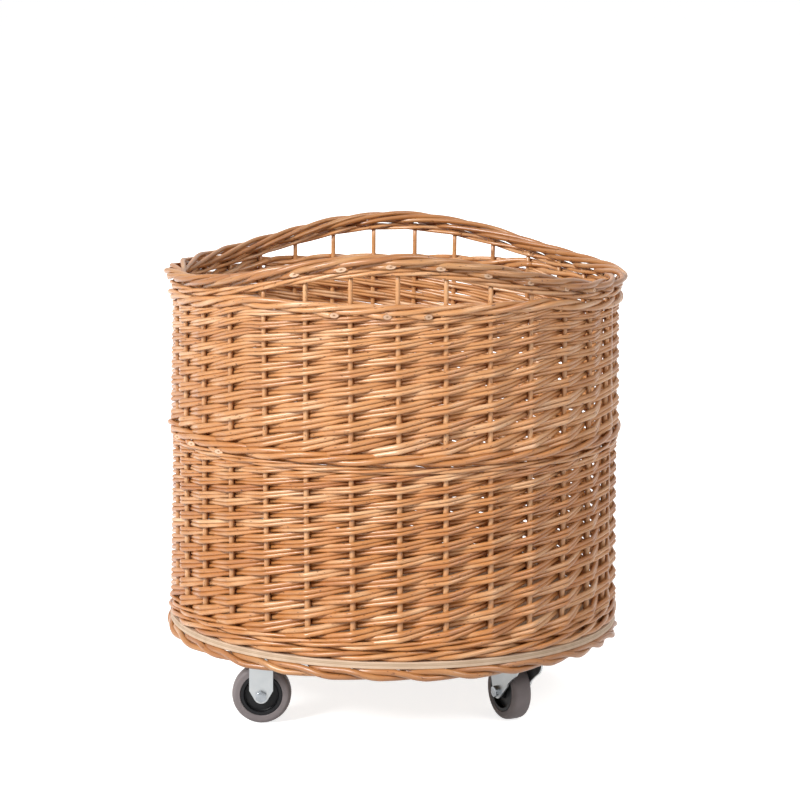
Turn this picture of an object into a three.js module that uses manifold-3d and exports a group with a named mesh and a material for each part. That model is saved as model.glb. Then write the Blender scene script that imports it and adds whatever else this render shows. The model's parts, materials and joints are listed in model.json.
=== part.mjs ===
// A wicker display basket on castors. Willow stakes stand in a round plywood board, rods are woven
// round them in two bands between waled rings, and a rolled border closes the foot and the rim.
// The rim arches at the front and the back, which leaves a row of hand holds under it.
// Two rigid castors carry the left side and two swivel castors the right side.
// Millimetres, +Z up. The origin is on the floor under the middle of the basket, and the front is -Y.

import * as THREE from 'three';
import { mergeVertices } from 'three/addons/utils/BufferGeometryUtils.js';
import Module from 'manifold-3d';

const wasm = await Module();
wasm.setup();

// Driving dimensions

const SEAT_GAP = 0.3;
const STRAND_CLEARANCE = 0.5;

const STAKE_COUNT = 31;
const STAKE_CIRCLE_RADIUS = 284;
const STAKE_DIAMETER = 6.2;
const STAKE_START_DEG = -89.3;

const BOARD_EDGE = 12;
const BOARD_THICKNESS = 9;

const UPSETT_HEIGHT = 24;
const LOWER_WEAVE_HEIGHT = 207;
const MIDDLE_WALE_HEIGHT = 24;
const UPPER_WEAVE_HEIGHT = 150;
const UPPER_WALE_HEIGHT = 18;
const RIM_WALE_HEIGHT = 12;
const UPPER_BAND_RISE = 12;
const HAND_HOLD_HEIGHT = 34;
const ARCH_POWER = 4;

const LOWER_WEAVE_COURSES = 11;
const UPPER_WEAVE_COURSES = 9;
const WEAVE_STRAND_THICKNESS = 5.2;
const COURSE_GAP = 1.2;
const WALE_ROD_THICKNESS = 4.4;

const RIM_BORDER_WIDTH = 29;
const RIM_BORDER_HEIGHT = 16;
const RIM_BORDER_OUTSET = 3;
const FOOT_BORDER_WIDTH = 18;
const FOOT_BORDER_HEIGHT = 15;
const FOOT_BORDER_OUTSET = 5.3;
const BORDER_HOLLOW_RATIO = 0.8;

const CASTOR_BEARING_DEG = 47.3;
const CASTOR_EDGE_MARGIN = 2.7;
const CASTOR_PLATE_SIDE = 55;
const CASTOR_PLATE_CORNER = 8;
const SHEET_THICKNESS = 2.5;
const SWIVEL_TRAIL = 30;
const SWIVEL_YAW_DEG = -62;
const RACE_RADIUS = 22;
const RACE_HEIGHT = 6;
const RACE_WALL = 3;
const KINGPIN_RADIUS = 5;
const KINGPIN_HEAD_RADIUS = 9;
const KINGPIN_HEAD_HEIGHT = 4;
const CROWN_CLEARANCE = 13.4;

const WHEEL_RADIUS = 37.5;
const TYRE_WIDTH = 25;
const TYRE_SHOULDER = 5;
const TYRE_DEPTH = 11;
const HUB_BOSS_PROUD = 2.5;
const HUB_BOSS_RADIUS = 9;
const HUB_DISH_DEPTH = 6;
const HUB_RIM_WALL = 4;
const WHEEL_SIDES = 18;
const FORK_SIDE_CLEARANCE = 0.8;
const FORK_LEG_WIDTH = 30;
const FORK_TIP_RADIUS = 9.5;
const FORK_SHOULDER = 7;
const SWIVEL_FRONT_SHOULDER = 5;
const SWIVEL_BACK_SHOULDER = 15;
const SWIVEL_FLARE_RATIO = 1.45;
const AXLE_RADIUS = 4;
const BOLT_HEAD_FLATS = 13;
const BOLT_HEAD_HEIGHT = 5.3;
const NUT_HEIGHT = 6.5;

const HEXAGON = 6;
const PIN_SIDES = 12;
const RACE_SIDES = 18;
const AXLE_SIDES = 10;
const CORNER_FACETS = 2;
const TIP_FACETS = 4;

// Sizes and heights that follow from them

const castorHeight = 2 * WHEEL_RADIUS + CROWN_CLEARANCE + 2 * SHEET_THICKNESS + RACE_HEIGHT + 2 * SEAT_GAP;
const boardTop = castorHeight + BOARD_THICKNESS;
const boardRadius = STAKE_CIRCLE_RADIUS + BOARD_EDGE;
const footBorderRadius = STAKE_CIRCLE_RADIUS + FOOT_BORDER_OUTSET;
const rimBorderRadius = STAKE_CIRCLE_RADIUS + RIM_BORDER_OUTSET;
const upsettBottom = boardTop + SEAT_GAP;
const lowerWeaveBottom = upsettBottom + UPSETT_HEIGHT + SEAT_GAP;
const middleWaleBottom = lowerWeaveBottom + LOWER_WEAVE_HEIGHT + SEAT_GAP;
const upperWeaveBottom = middleWaleBottom + MIDDLE_WALE_HEIGHT + SEAT_GAP;
const stakeStep = (2 * Math.PI) / STAKE_COUNT;
const stakeRadius = STAKE_DIAMETER / 2;

const stakeAngle = (index) => THREE.MathUtils.degToRad(STAKE_START_DEG) + index * stakeStep;
const archShare = (angle) => Math.sin(angle) ** ARCH_POWER;

// The upper band follows the rim up from the sides, and levels off where the hand holds open over it
const rimRise = UPPER_BAND_RISE + HAND_HOLD_HEIGHT;
const bandShare = (angle) => 1 - (1 - archShare(angle)) ** (rimRise / UPPER_BAND_RISE);
const upperWeaveSideTop = upperWeaveBottom + UPPER_WEAVE_HEIGHT;
const upperWeaveTop = (angle) => upperWeaveSideTop + UPPER_BAND_RISE * bandShare(angle);
const upperWaleBottom = (angle) => upperWeaveTop(angle) + SEAT_GAP;
const rimSideBottom = upperWeaveSideTop + UPPER_WALE_HEIGHT + 2 * SEAT_GAP;
const rimWaleBottom = (angle) => rimSideBottom + rimRise * archShare(angle);
const rimBorderBottom = (angle) => rimWaleBottom(angle) + RIM_WALE_HEIGHT + SEAT_GAP;

// Finishes

const finish = (color, roughness, metalness) => (
  new THREE.MeshStandardMaterial({ color, roughness, metalness })
);
const willow = finish(0xc48a4f, 0.6, 0);
const stakeWillow = finish(0xb87a40, 0.6, 0);
const plywood = finish(0xe3d2ac, 0.7, 0);
const zinc = finish(0xc9cdd0, 0.35, 0.9);
const blackPlastic = finish(0x1c1d20, 0.5, 0);
const greyRubber = finish(0x85797b, 0.8, 0);

// Geometry helpers

const mesh = (name, geometry, material) => {
  const piece = new THREE.Mesh(geometry, material);
  piece.name = name;
  return piece;
};

function solid(geometry) {
  const bare = geometry.clone();
  bare.deleteAttribute('normal');
  bare.deleteAttribute('uv');
  const merged = mergeVertices(bare, 1e-4);
  const vertProperties = new Float32Array(merged.attributes.position.array);
  const triVerts = new Uint32Array(merged.index.array);
  return new wasm.Manifold(new wasm.Mesh({ numProp: 3, vertProperties, triVerts }));
}

function geometryOf(body) {
  const { vertProperties, triVerts } = body.getMesh();
  const geometry = new THREE.BufferGeometry();
  geometry.setAttribute('position', new THREE.BufferAttribute(new Float32Array(vertProperties), 3));
  geometry.setIndex(new THREE.BufferAttribute(new Uint32Array(triVerts), 1));
  return geometry;
}

const fuse = (geometries) => geometries.map(solid).reduce((whole, body) => whole.add(body));

// A point at a radius and height on the ray of an angle round the basket
const onRay = (angle, radius, z) => [radius * Math.cos(angle), radius * Math.sin(angle), z];

// A flat section standing on a ray, listed clockwise as seen with the radius to the right
const barSection = (angle, radius, z, thickness, height) => [
  onRay(angle, radius - thickness / 2, z - height / 2),
  onRay(angle, radius - thickness / 2, z + height / 2),
  onRay(angle, radius + thickness / 2, z + height / 2),
  onRay(angle, radius + thickness / 2, z - height / 2),
];

// The skin between two sections, as triangles, leaving out one side where something grows from it
function skin(here, next, openSide) {
  return here.flatMap((corner, k) => {
    const after = (k + 1) % here.length;
    return k === openSide ? [] : [corner, here[after], next[after], corner, next[after], next[k]];
  });
}

function indexed(points, triangles) {
  const geometry = new THREE.BufferGeometry();
  geometry.setAttribute('position', new THREE.Float32BufferAttribute(points.flat(), 3));
  geometry.setIndex(triangles);
  return geometry;
}

// A closed ring through sections that run anticlockwise round the basket
function sweepRing(sections) {
  const sides = sections[0].length;
  const corners = sections.map((section, ring) => section.map((_, k) => ring * sides + k));
  const triangles = corners.flatMap((here, ring) => skin(here, corners[(ring + 1) % corners.length]));
  return indexed(sections.flat(), triangles);
}

// A lathe about the local Y axis whose facets lie flat on the stated radii
function turned(profile, sides) {
  const cornerFactor = 1 / Math.cos(Math.PI / sides);
  const points = profile.map(([radius, y]) => new THREE.Vector2(radius * cornerFactor, y));
  return new THREE.LatheGeometry(points, sides, Math.PI / sides);
}

// Stake-and-strand weaving

// A band of strands that climb one course at each stake, outside and inside in turn.
// Each strand grows out of a packed first round, which lies inside the stakes.
function wovenBand(bottom, top, courses) {
  const reach = stakeRadius + STRAND_CLEARANCE + WEAVE_STRAND_THICKNESS / 2;
  const insideRadius = STAKE_CIRCLE_RADIUS - reach;
  const points = [];
  const triangles = [];
  const place = (section) => section.map((point) => points.push(point) - 1);
  const pitchAt = (angle) => (top(angle) - bottom) / courses;

  const rootStart = 0.1;
  const rootEnd = 0.35;
  const roundSection = (position) => {
    const angle = stakeAngle(position);
    const height = (pitchAt(angle) - COURSE_GAP) / 2;
    const z = bottom + COURSE_GAP / 2 + height / 2;
    return place(barSection(angle, insideRadius, z, WEAVE_STRAND_THICKNESS, height));
  };
  const roots = Array.from({ length: STAKE_COUNT }, (_, stake) => ({
    back: roundSection(stake + rootStart),
    front: roundSection(stake + rootEnd),
  }));
  const topSide = 1;
  roots.forEach(({ back, front }, stake) => {
    triangles.push(...skin(back, front, topSide));
    triangles.push(...skin(front, roots[(stake + 1) % STAKE_COUNT].back));
  });

  roots.forEach(({ back, front }, stake) => {
    const [, innerBack, outerBack] = back;
    const [, innerFront, outerFront] = front;
    let here = [innerFront, innerBack, outerBack, outerFront];
    for (let course = 1; course < courses; course += 1) {
      const angle = stakeAngle(stake + course);
      const pitch = pitchAt(angle);
      const radius = STAKE_CIRCLE_RADIUS + (course % 2 ? reach : -reach);
      const z = bottom + (course + 0.5) * pitch;
      const next = place(barSection(angle, radius, z, WEAVE_STRAND_THICKNESS, pitch - COURSE_GAP));
      triangles.push(...skin(here, next));
      here = next;
    }
    triangles.push(here[0], here[1], here[2], here[0], here[2], here[3]);
  });
  return indexed(points, triangles);
}

// A three-rod wale: past two stakes outside, low and then high, and behind the third.
// The stake count leaves one over when divided by three, so one rod winds three times and closes.
function wale(bottom, height) {
  const reach = stakeRadius + STRAND_CLEARANCE + WALE_ROD_THICKNESS / 2;
  const crossingSlack = 0.02;
  const packing = 0.95;
  const crossingShare = WALE_ROD_THICKNESS / (2 * reach) + crossingSlack;
  const rodShare = (2 - 3 * crossingShare) * packing;
  const lift = height / (2 + rodShare);
  const rodHeight = lift * rodShare;
  const passes = [
    { side: 1, rise: -lift },
    { side: 1, rise: lift },
    { side: -1, rise: 0 },
  ];
  const sections = Array.from({ length: STAKE_COUNT * passes.length }, (_, step) => {
    const angle = stakeAngle(step);
    const { side, rise } = passes[step % passes.length];
    const z = bottom(angle) + height / 2 + rise;
    return barSection(angle, STAKE_CIRCLE_RADIUS + side * reach, z, WALE_ROD_THICKNESS, rodHeight);
  });
  return sweepRing(sections);
}

// A rolled border: a ring whose three lobes climb over it once at each stake
function rolledBorder(bottom, radius, width, height) {
  const corners = HEXAGON;
  const cornerStep = (2 * Math.PI) / corners;
  const upright = height / 2 / Math.sin(cornerStep);
  const sections = Array.from({ length: 2 * STAKE_COUNT }, (_, half) => {
    const angle = stakeAngle(half / 2);
    const middle = bottom(angle) + height / 2;
    return Array.from({ length: corners }, (_, k) => {
      const share = (k + half) % 2 ? BORDER_HOLLOW_RATIO : 1;
      const turn = -k * cornerStep;
      const out = (width / 2) * share * Math.cos(turn);
      return onRay(angle, radius + out, middle + upright * share * Math.sin(turn));
    });
  });
  return sweepRing(sections);
}

const level = (z) => () => z;

function stake(index) {
  const angle = stakeAngle(index);
  const halfWidthAngle = stakeRadius / STAKE_CIRCLE_RADIUS;
  const bottom = castorHeight;
  const edges = [angle - halfWidthAngle, angle + halfWidthAngle].map(rimBorderBottom);
  const top = Math.min(...edges) - SEAT_GAP;
  const rod = new THREE.CylinderGeometry(stakeRadius, stakeRadius, top - bottom, HEXAGON);
  rod.rotateX(Math.PI / 2);
  const piece = mesh(`stake_${String(index + 1).padStart(2, '0')}`, rod, stakeWillow);
  piece.position.set(...onRay(angle, STAKE_CIRCLE_RADIUS, (top + bottom) / 2));
  piece.rotation.z = angle;
  return piece;
}

// The round plywood board, bored for the stakes
function board() {
  const rimSides = 2 * STAKE_COUNT;
  const holeRadius = stakeRadius + SEAT_GAP / Math.cos(Math.PI / HEXAGON);
  const ringOfPoints = (centre, radius, sides, start) => Array.from({ length: sides }, (_, k) => {
    const turn = start + (k * 2 * Math.PI) / sides;
    return new THREE.Vector2(centre.x + radius * Math.cos(turn), centre.y + radius * Math.sin(turn));
  });
  const outline = new THREE.Shape(ringOfPoints(new THREE.Vector2(), boardRadius, rimSides, stakeAngle(0)));
  for (let index = 0; index < STAKE_COUNT; index += 1) {
    const angle = stakeAngle(index);
    const [x, y] = onRay(angle, STAKE_CIRCLE_RADIUS, 0);
    const points = ringOfPoints(new THREE.Vector2(x, y), holeRadius, HEXAGON, angle + Math.PI / 2);
    outline.holes.push(new THREE.Path(points));
  }
  const disc = new THREE.ExtrudeGeometry(outline, { depth: BOARD_THICKNESS, bevelEnabled: false });
  const piece = mesh('base_board', disc, plywood);
  piece.position.z = castorHeight;
  return piece;
}

// Castors, each in a frame of its own with the swivel axis at the origin, rolling along X

const axleZ = WHEEL_RADIUS;
const plateTop = castorHeight - SEAT_GAP;
const plateBottom = plateTop - SHEET_THICKNESS;
const hubHalf = TYRE_WIDTH / 2 + HUB_BOSS_PROUD;
const legInner = hubHalf + FORK_SIDE_CLEARANCE;
const legOuter = legInner + SHEET_THICKNESS;
const crownTop = plateBottom - RACE_HEIGHT - SEAT_GAP;
const crownBottom = crownTop - SHEET_THICKNESS;
const boreRadius = AXLE_RADIUS + SEAT_GAP;

function extruded(shape, depth, curveSegments) {
  return new THREE.ExtrudeGeometry(shape, { depth, bevelEnabled: false, curveSegments });
}

function plateGeometry() {
  const half = CASTOR_PLATE_SIDE / 2;
  const inner = half - CASTOR_PLATE_CORNER;
  const shape = new THREE.Shape();
  for (const [sx, sy, start] of [[1, 1, 0], [-1, 1, 1], [-1, -1, 2], [1, -1, 3]]) {
    const from = (start * Math.PI) / 2;
    shape.absarc(sx * inner, sy * inner, CASTOR_PLATE_CORNER, from, from + Math.PI / 2, false);
  }
  return extruded(shape, SHEET_THICKNESS, CORNER_FACETS).translate(0, 0, plateBottom);
}

// A fork leg between its back and front edges, each listed from the top down.
// Below the last points the edges run in a straight line to the round tip about the axle.
function legGeometry(back, front, axleX, side) {
  const tangent = ([x, z], turn) => {
    const dx = x - axleX;
    const dz = z - axleZ;
    return Math.atan2(dz, dx) + turn * Math.acos(FORK_TIP_RADIUS / Math.hypot(dx, dz));
  };
  const shape = new THREE.Shape();
  shape.moveTo(...back[0]);
  back.slice(1).forEach(([x, z]) => shape.lineTo(x, z));
  const tipStart = tangent(back.at(-1), 1);
  const tipEnd = tangent(front.at(-1), -1) + 2 * Math.PI;
  shape.absarc(axleX, axleZ, FORK_TIP_RADIUS, tipStart, tipEnd, false);
  front.toReversed().forEach(([x, z]) => shape.lineTo(x, z));
  const holeSides = 2 * TIP_FACETS;
  const hole = new THREE.Path();
  hole.absarc(axleX, axleZ, boreRadius / Math.cos(Math.PI / holeSides), 0, 2 * Math.PI, true);
  shape.holes.push(hole);
  const leg = extruded(shape, SHEET_THICKNESS, TIP_FACETS).rotateX(Math.PI / 2);
  return leg.translate(0, side > 0 ? legOuter : -legInner, 0);
}

function rigidFork() {
  const half = FORK_LEG_WIDTH / 2;
  const legTop = plateBottom + SHEET_THICKNESS / 2;
  const shoulder = axleZ + FORK_SHOULDER;
  const edge = (x) => [[x, legTop], [x, shoulder]];
  const legs = [-1, 1].map((side) => legGeometry(edge(-half), edge(half), 0, side));
  return geometryOf(fuse([plateGeometry(), ...legs]));
}

function upright(profile, sides) {
  return turned(profile, sides).rotateX(Math.PI / 2);
}

const kingpinBore = KINGPIN_RADIUS + SEAT_GAP;

// The top plate carries the upper race, a short collar round the kingpin
function swivelTopPlate() {
  const low = plateBottom - RACE_HEIGHT;
  const race = upright([
    [RACE_RADIUS - RACE_WALL, low],
    [RACE_RADIUS, low],
    [RACE_RADIUS, plateBottom + SHEET_THICKNESS / 2],
    [RACE_RADIUS - RACE_WALL, plateBottom + SHEET_THICKNESS / 2],
    [RACE_RADIUS - RACE_WALL, low],
  ], RACE_SIDES);
  const hole = upright([
    [0, plateBottom - SHEET_THICKNESS],
    [kingpinBore, plateBottom - SHEET_THICKNESS],
    [kingpinBore, plateTop + SHEET_THICKNESS],
    [0, plateTop + SHEET_THICKNESS],
  ], PIN_SIDES);
  return geometryOf(fuse([plateGeometry(), race]).subtract(solid(hole)));
}

// The swivel fork: a crown that turns under the race, with legs that rake back to the trailing axle.
// The front edge of a leg flares from the axle up to the crown.
function swivelFork() {
  const crownBack = -RACE_RADIUS;
  const crownFront = RACE_RADIUS;
  const crownShape = new THREE.Shape();
  crownShape.moveTo(crownBack, -legOuter);
  crownShape.lineTo(crownFront, -legOuter);
  crownShape.lineTo(crownFront, legOuter);
  crownShape.lineTo(crownBack, legOuter);
  const crown = extruded(crownShape, SHEET_THICKNESS, 1).translate(0, 0, crownBottom);
  const half = FORK_LEG_WIDTH / 2;
  const flareStart = axleZ + SWIVEL_FRONT_SHOULDER;
  const flareEnd = flareStart + (crownFront + SWIVEL_TRAIL - half) / SWIVEL_FLARE_RATIO;
  const back = [[crownBack, crownTop], [-SWIVEL_TRAIL - half, axleZ + SWIVEL_BACK_SHOULDER]];
  const front = [[crownFront, crownTop], [crownFront, flareEnd], [half - SWIVEL_TRAIL, flareStart]];
  const legs = [-1, 1].map((side) => legGeometry(back, front, -SWIVEL_TRAIL, side));
  const hole = upright([
    [0, crownBottom - SHEET_THICKNESS],
    [kingpinBore, crownBottom - SHEET_THICKNESS],
    [kingpinBore, crownTop + SHEET_THICKNESS],
    [0, crownTop + SHEET_THICKNESS],
  ], PIN_SIDES);
  return geometryOf(fuse([crown, ...legs]).subtract(solid(hole)));
}

function kingpin() {
  const headTop = crownBottom - SEAT_GAP;
  const shank = KINGPIN_RADIUS * Math.cos(Math.PI / PIN_SIDES);
  return upright([
    [0, headTop - KINGPIN_HEAD_HEIGHT],
    [KINGPIN_HEAD_RADIUS, headTop - KINGPIN_HEAD_HEIGHT],
    [KINGPIN_HEAD_RADIUS, headTop],
    [shank, headTop],
    [shank, plateTop],
    [0, plateTop],
  ], PIN_SIDES);
}

function hexPrism(flats, height, y) {
  const prism = new THREE.CylinderGeometry(flats / Math.sqrt(3), flats / Math.sqrt(3), height, HEXAGON);
  return prism.translate(0, y + height / 2, 0);
}

// The axle bolt, with its hexagon head outside one leg and its nut outside the other
function axleBolt() {
  const seat = legOuter + SEAT_GAP;
  const shankLength = 2 * seat + NUT_HEIGHT / 2 + BOLT_HEAD_HEIGHT / 2;
  const shank = new THREE.CylinderGeometry(AXLE_RADIUS, AXLE_RADIUS, shankLength, AXLE_SIDES);
  shank.translate(0, (NUT_HEIGHT - BOLT_HEAD_HEIGHT) / 4, 0);
  const head = hexPrism(BOLT_HEAD_FLATS, BOLT_HEAD_HEIGHT, -seat - BOLT_HEAD_HEIGHT);
  const nut = hexPrism(BOLT_HEAD_FLATS, NUT_HEIGHT, seat);
  return geometryOf(fuse([shank, head, nut]));
}

const hubRadius = WHEEL_RADIUS - TYRE_DEPTH;

// The wheel centre: a dished disc with a boss round the bore and a rim that holds the tyre
function hub() {
  const rimHalf = TYRE_WIDTH / 2;
  const floorHalf = rimHalf - HUB_DISH_DEPTH;
  const dishOuter = hubRadius - HUB_RIM_WALL;
  return turned([
    [boreRadius, -hubHalf],
    [HUB_BOSS_RADIUS, -hubHalf],
    [dishOuter, -floorHalf],
    [hubRadius, -rimHalf],
    [hubRadius, rimHalf],
    [dishOuter, floorHalf],
    [HUB_BOSS_RADIUS, hubHalf],
    [boreRadius, hubHalf],
    [boreRadius, -hubHalf],
  ], WHEEL_SIDES);
}

function tyre() {
  const half = TYRE_WIDTH / 2;
  const tread = half - TYRE_SHOULDER;
  const shoulder = WHEEL_RADIUS - TYRE_SHOULDER / 2;
  const inside = hubRadius + SEAT_GAP;
  return turned([
    [inside, -half],
    [shoulder, -half],
    [WHEEL_RADIUS, -tread],
    [WHEEL_RADIUS, tread],
    [shoulder, half],
    [inside, half],
    [inside, -half],
  ], WHEEL_SIDES);
}

function castor(name, x, y, swivels) {
  const frame = new THREE.Group();
  frame.position.set(x, y, 0);
  const running = new THREE.Group();
  if (swivels) {
    frame.add(mesh(`${name}_top_plate`, swivelTopPlate(), zinc));
    frame.add(mesh(`${name}_kingpin`, kingpin(), zinc));
    running.rotation.z = THREE.MathUtils.degToRad(SWIVEL_YAW_DEG);
  }
  running.add(mesh(`${name}_fork`, swivels ? swivelFork() : rigidFork(), zinc));
  const wheel = new THREE.Group();
  wheel.position.set(swivels ? -SWIVEL_TRAIL : 0, 0, axleZ);
  wheel.add(mesh(`${name}_axle`, axleBolt(), zinc));
  wheel.add(mesh(`${name}_hub`, hub(), blackPlastic));
  wheel.add(mesh(`${name}_tyre`, tyre(), greyRubber));
  running.add(wheel);
  frame.add(running);
  return frame;
}

// The assembly

const basket = new THREE.Group();
const footBottom = castorHeight - SEAT_GAP - FOOT_BORDER_HEIGHT;
const plateReach = (CASTOR_PLATE_SIDE / 2 - CASTOR_PLATE_CORNER) * Math.SQRT2 + CASTOR_PLATE_CORNER;
const castorCircle = footBorderRadius - FOOT_BORDER_WIDTH / 2 - CASTOR_EDGE_MARGIN - plateReach;
const [castorX, castorY] = onRay(THREE.MathUtils.degToRad(CASTOR_BEARING_DEG), castorCircle, 0);
basket.add(board());
basket.add(mesh(
  'foot_border',
  rolledBorder(level(footBottom), footBorderRadius, FOOT_BORDER_WIDTH, FOOT_BORDER_HEIGHT),
  willow,
));
basket.add(mesh('upsett_wale', wale(level(upsettBottom), UPSETT_HEIGHT), willow));
basket.add(mesh(
  'lower_weave',
  wovenBand(lowerWeaveBottom, level(lowerWeaveBottom + LOWER_WEAVE_HEIGHT), LOWER_WEAVE_COURSES),
  willow,
));
basket.add(mesh('middle_wale', wale(level(middleWaleBottom), MIDDLE_WALE_HEIGHT), willow));
basket.add(mesh('upper_weave', wovenBand(upperWeaveBottom, upperWeaveTop, UPPER_WEAVE_COURSES), willow));
basket.add(mesh('upper_wale', wale(upperWaleBottom, UPPER_WALE_HEIGHT), willow));
basket.add(mesh('rim_wale', wale(rimWaleBottom, RIM_WALE_HEIGHT), willow));
basket.add(mesh(
  'rim_border',
  rolledBorder(rimBorderBottom, rimBorderRadius, RIM_BORDER_WIDTH, RIM_BORDER_HEIGHT),
  willow,
));
for (let index = 0; index < STAKE_COUNT; index += 1) {
  basket.add(stake(index));
}
basket.add(castor('front_left', -castorX, -castorY, false));
basket.add(castor('rear_left', -castorX, castorY, false));
basket.add(castor('front_right', castorX, -castorY, true));
basket.add(castor('rear_right', castorX, castorY, true));

export default basket;
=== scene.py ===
# %% [markdown]
# # A wicker display basket on four castors
# Upright willow stakes stand in a round plywood board. Thinner rods run in and out between them in two
# bands, and thicker rods are twined round in waled rings that hold the bands down. A rolled border closes
# the foot and the rim. The lesson makes the basket as a basket maker does, one rod at a time, because a
# surface with a picture of weaving on it would look flat from every side but one.

# %% Load the frame
import json
import math
import bmesh
import bpy
import numpy as np
from mathutils import Matrix, Vector


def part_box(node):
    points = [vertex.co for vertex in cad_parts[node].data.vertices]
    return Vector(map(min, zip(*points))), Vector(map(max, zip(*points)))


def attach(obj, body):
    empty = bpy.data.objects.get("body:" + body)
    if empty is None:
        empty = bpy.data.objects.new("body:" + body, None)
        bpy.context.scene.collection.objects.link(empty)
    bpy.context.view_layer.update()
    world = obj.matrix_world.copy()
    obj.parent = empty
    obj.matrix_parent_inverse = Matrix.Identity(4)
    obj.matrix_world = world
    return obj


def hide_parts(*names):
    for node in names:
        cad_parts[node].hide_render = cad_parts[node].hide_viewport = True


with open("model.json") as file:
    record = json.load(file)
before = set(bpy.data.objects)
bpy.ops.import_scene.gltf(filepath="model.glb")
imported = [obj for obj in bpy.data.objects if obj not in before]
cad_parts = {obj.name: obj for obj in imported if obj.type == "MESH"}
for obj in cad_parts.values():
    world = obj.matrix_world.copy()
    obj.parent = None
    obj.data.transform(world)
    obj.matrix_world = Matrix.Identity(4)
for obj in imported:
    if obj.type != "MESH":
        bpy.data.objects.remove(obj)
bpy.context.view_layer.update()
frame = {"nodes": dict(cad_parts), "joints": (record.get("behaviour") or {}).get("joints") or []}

MM = 0.001

# %% [markdown]
# ## The stakes as a ruler
# Everything on a basket is counted in stakes: a rod passes in front of one and behind the next. So a place
# round the basket is given here as a number of stakes from the first one, and turned into an angle only
# when a point is made. Degrees would do too, but then no number would say which stake it belongs to. The
# circle and the spacing come from the solid model.

# %% Measure the stakes
stake_names = sorted(name for name in frame["nodes"] if name.startswith("stake_"))
STAKE_COUNT = len(stake_names)
STAKE_STEP = 2 * math.pi / STAKE_COUNT
first_low, first_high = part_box(stake_names[0])
first_stake = (first_low + first_high) / 2
STAKE_CIRCLE = math.hypot(first_stake.x, first_stake.y)
FIRST_ANGLE = math.atan2(first_stake.y, first_stake.x)


def angle_at(stakes):
    return FIRST_ANGLE + STAKE_STEP * stakes


print(STAKE_COUNT, "stakes on a circle of", round(STAKE_CIRCLE / MM, 1), "mm")

# %% [markdown]
# ## The rim
# The rim is level along the sides and arches up at the front and the back, where the hand holds are. It
# could follow a curve drawn by hand. The fourth power of the sine gives that shape with one number: flat
# at the sides, and broad at the top of each arch. Its heights are read from the tops of the stakes, so the
# rods always meet them.

# %% Measure the rim
board_low, board_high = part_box("base_board")
stake_tops = [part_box(name)[1].z for name in stake_names]
RIM_LOW, RIM_HIGH = min(stake_tops), max(stake_tops)
ARCH_POWER = 4


def arch(stakes):
    return np.sin(angle_at(stakes)) ** ARCH_POWER


def rim_height(stakes):
    return RIM_LOW + (RIM_HIGH - RIM_LOW) * arch(stakes)


print("rim", round(RIM_LOW / MM, 1), "to", round(RIM_HIGH / MM, 1), "mm")

# %% [markdown]
# ## The hand holds
# The upper band follows the rim up from the sides. It stays against it until the hand hold starts, and then
# levels off, and the gap that opens over it is the row of hand holds. Holes cut in a finished wall would
# leave cut rods, which no basket has, so the height at which the weaving stops is a curve of its own.

# %% Measure the upper band
HAND_HOLD_START = 8 * MM
OPENING_POWER = 4
right_side_heights = [
    vertex.co.z for vertex in frame["nodes"]["upper_weave"].data.vertices
    if math.hypot(vertex.co.x / STAKE_CIRCLE - 1, vertex.co.y / STAKE_CIRCLE) < STAKE_STEP]
WEAVE_TOP_LOW = max(right_side_heights)
WEAVE_TOP_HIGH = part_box("upper_weave")[1].z


def weave_top(stakes):
    rise = WEAVE_TOP_HIGH - WEAVE_TOP_LOW
    level = WEAVE_TOP_LOW + rise * (1 - (1 - arch(stakes)) ** ((RIM_HIGH - RIM_LOW) / rise))
    opening = rim_height(stakes) - level - (RIM_LOW - WEAVE_TOP_LOW)
    return level + opening / (1 + (opening / HAND_HOLD_START) ** OPENING_POWER)


print("upper band top", round(WEAVE_TOP_LOW / MM, 1), "to", round(WEAVE_TOP_HIGH / MM, 1), "mm")

# %% [markdown]
# ## Points round the basket
# A hand-made basket twists a little: here the weave leans to the right toward the foot. A modifier could
# twist the finished mesh, but it would have to spare the board and the castors. So the lean is added where a
# place in stakes becomes a point in space.

# %% Turn places into points
FOOT_LEAN = 7 * MM


def on_ring(stakes, radius, height):
    lean = FOOT_LEAN * np.clip((RIM_LOW - height) / (RIM_LOW - board_low.z), 0, 1)
    angle = angle_at(stakes) + lean / STAKE_CIRCLE
    return np.stack([radius * np.cos(angle), radius * np.sin(angle), height], axis=1)


print("the weave leans", round(FOOT_LEAN / MM, 1), "mm between rim and foot")

# %% [markdown]
# ## Lines in space
# A rod follows a line of points, and its round section has to stay square to that line without spinning
# about it. Blender's curve bevel sees to this by itself. Here it is done by hand, because the rods below
# need more than a bevel gives: a side vector is carried from point to point with as little turn as possible.

# %% Line helpers
NEARLY_UPRIGHT = 0.9
RING_SAMPLES = 200


def unit(vectors):
    return vectors / np.linalg.norm(vectors, axis=-1, keepdims=True)


def carried_normals(tangents):
    sideways = (0.0, 0.0, 1.0) if abs(tangents[0][2]) < NEARLY_UPRIGHT else (1.0, 0.0, 0.0)
    normals = [unit(np.cross(tangents[0], sideways))]
    for tangent in tangents[1:]:
        last = normals[-1]
        normals.append(unit(last - tangent * np.dot(last, tangent)))
    return np.array(normals)


def distance_along(path):
    return np.concatenate([[0], np.cumsum(np.linalg.norm(np.diff(path, axis=0), axis=1))])


ring_places = np.linspace(0, STAKE_COUNT, RING_SAMPLES)
rim_line = on_ring(ring_places, STAKE_CIRCLE, rim_height(ring_places))
print("once round the rim is", round(distance_along(rim_line)[-1], 3), "m")

# %% [markdown]
# ## One willow rod
# A rod is a tube swept along a line. Blender's curves could be bevelled for this, but a mesh of our own can
# taper, can end in a slanting cut, and can remember where each point lay in the straight rod before it was
# bent. That memory, stored as the attribute "grain", lets the bark run along every rod however it bends.

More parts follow.
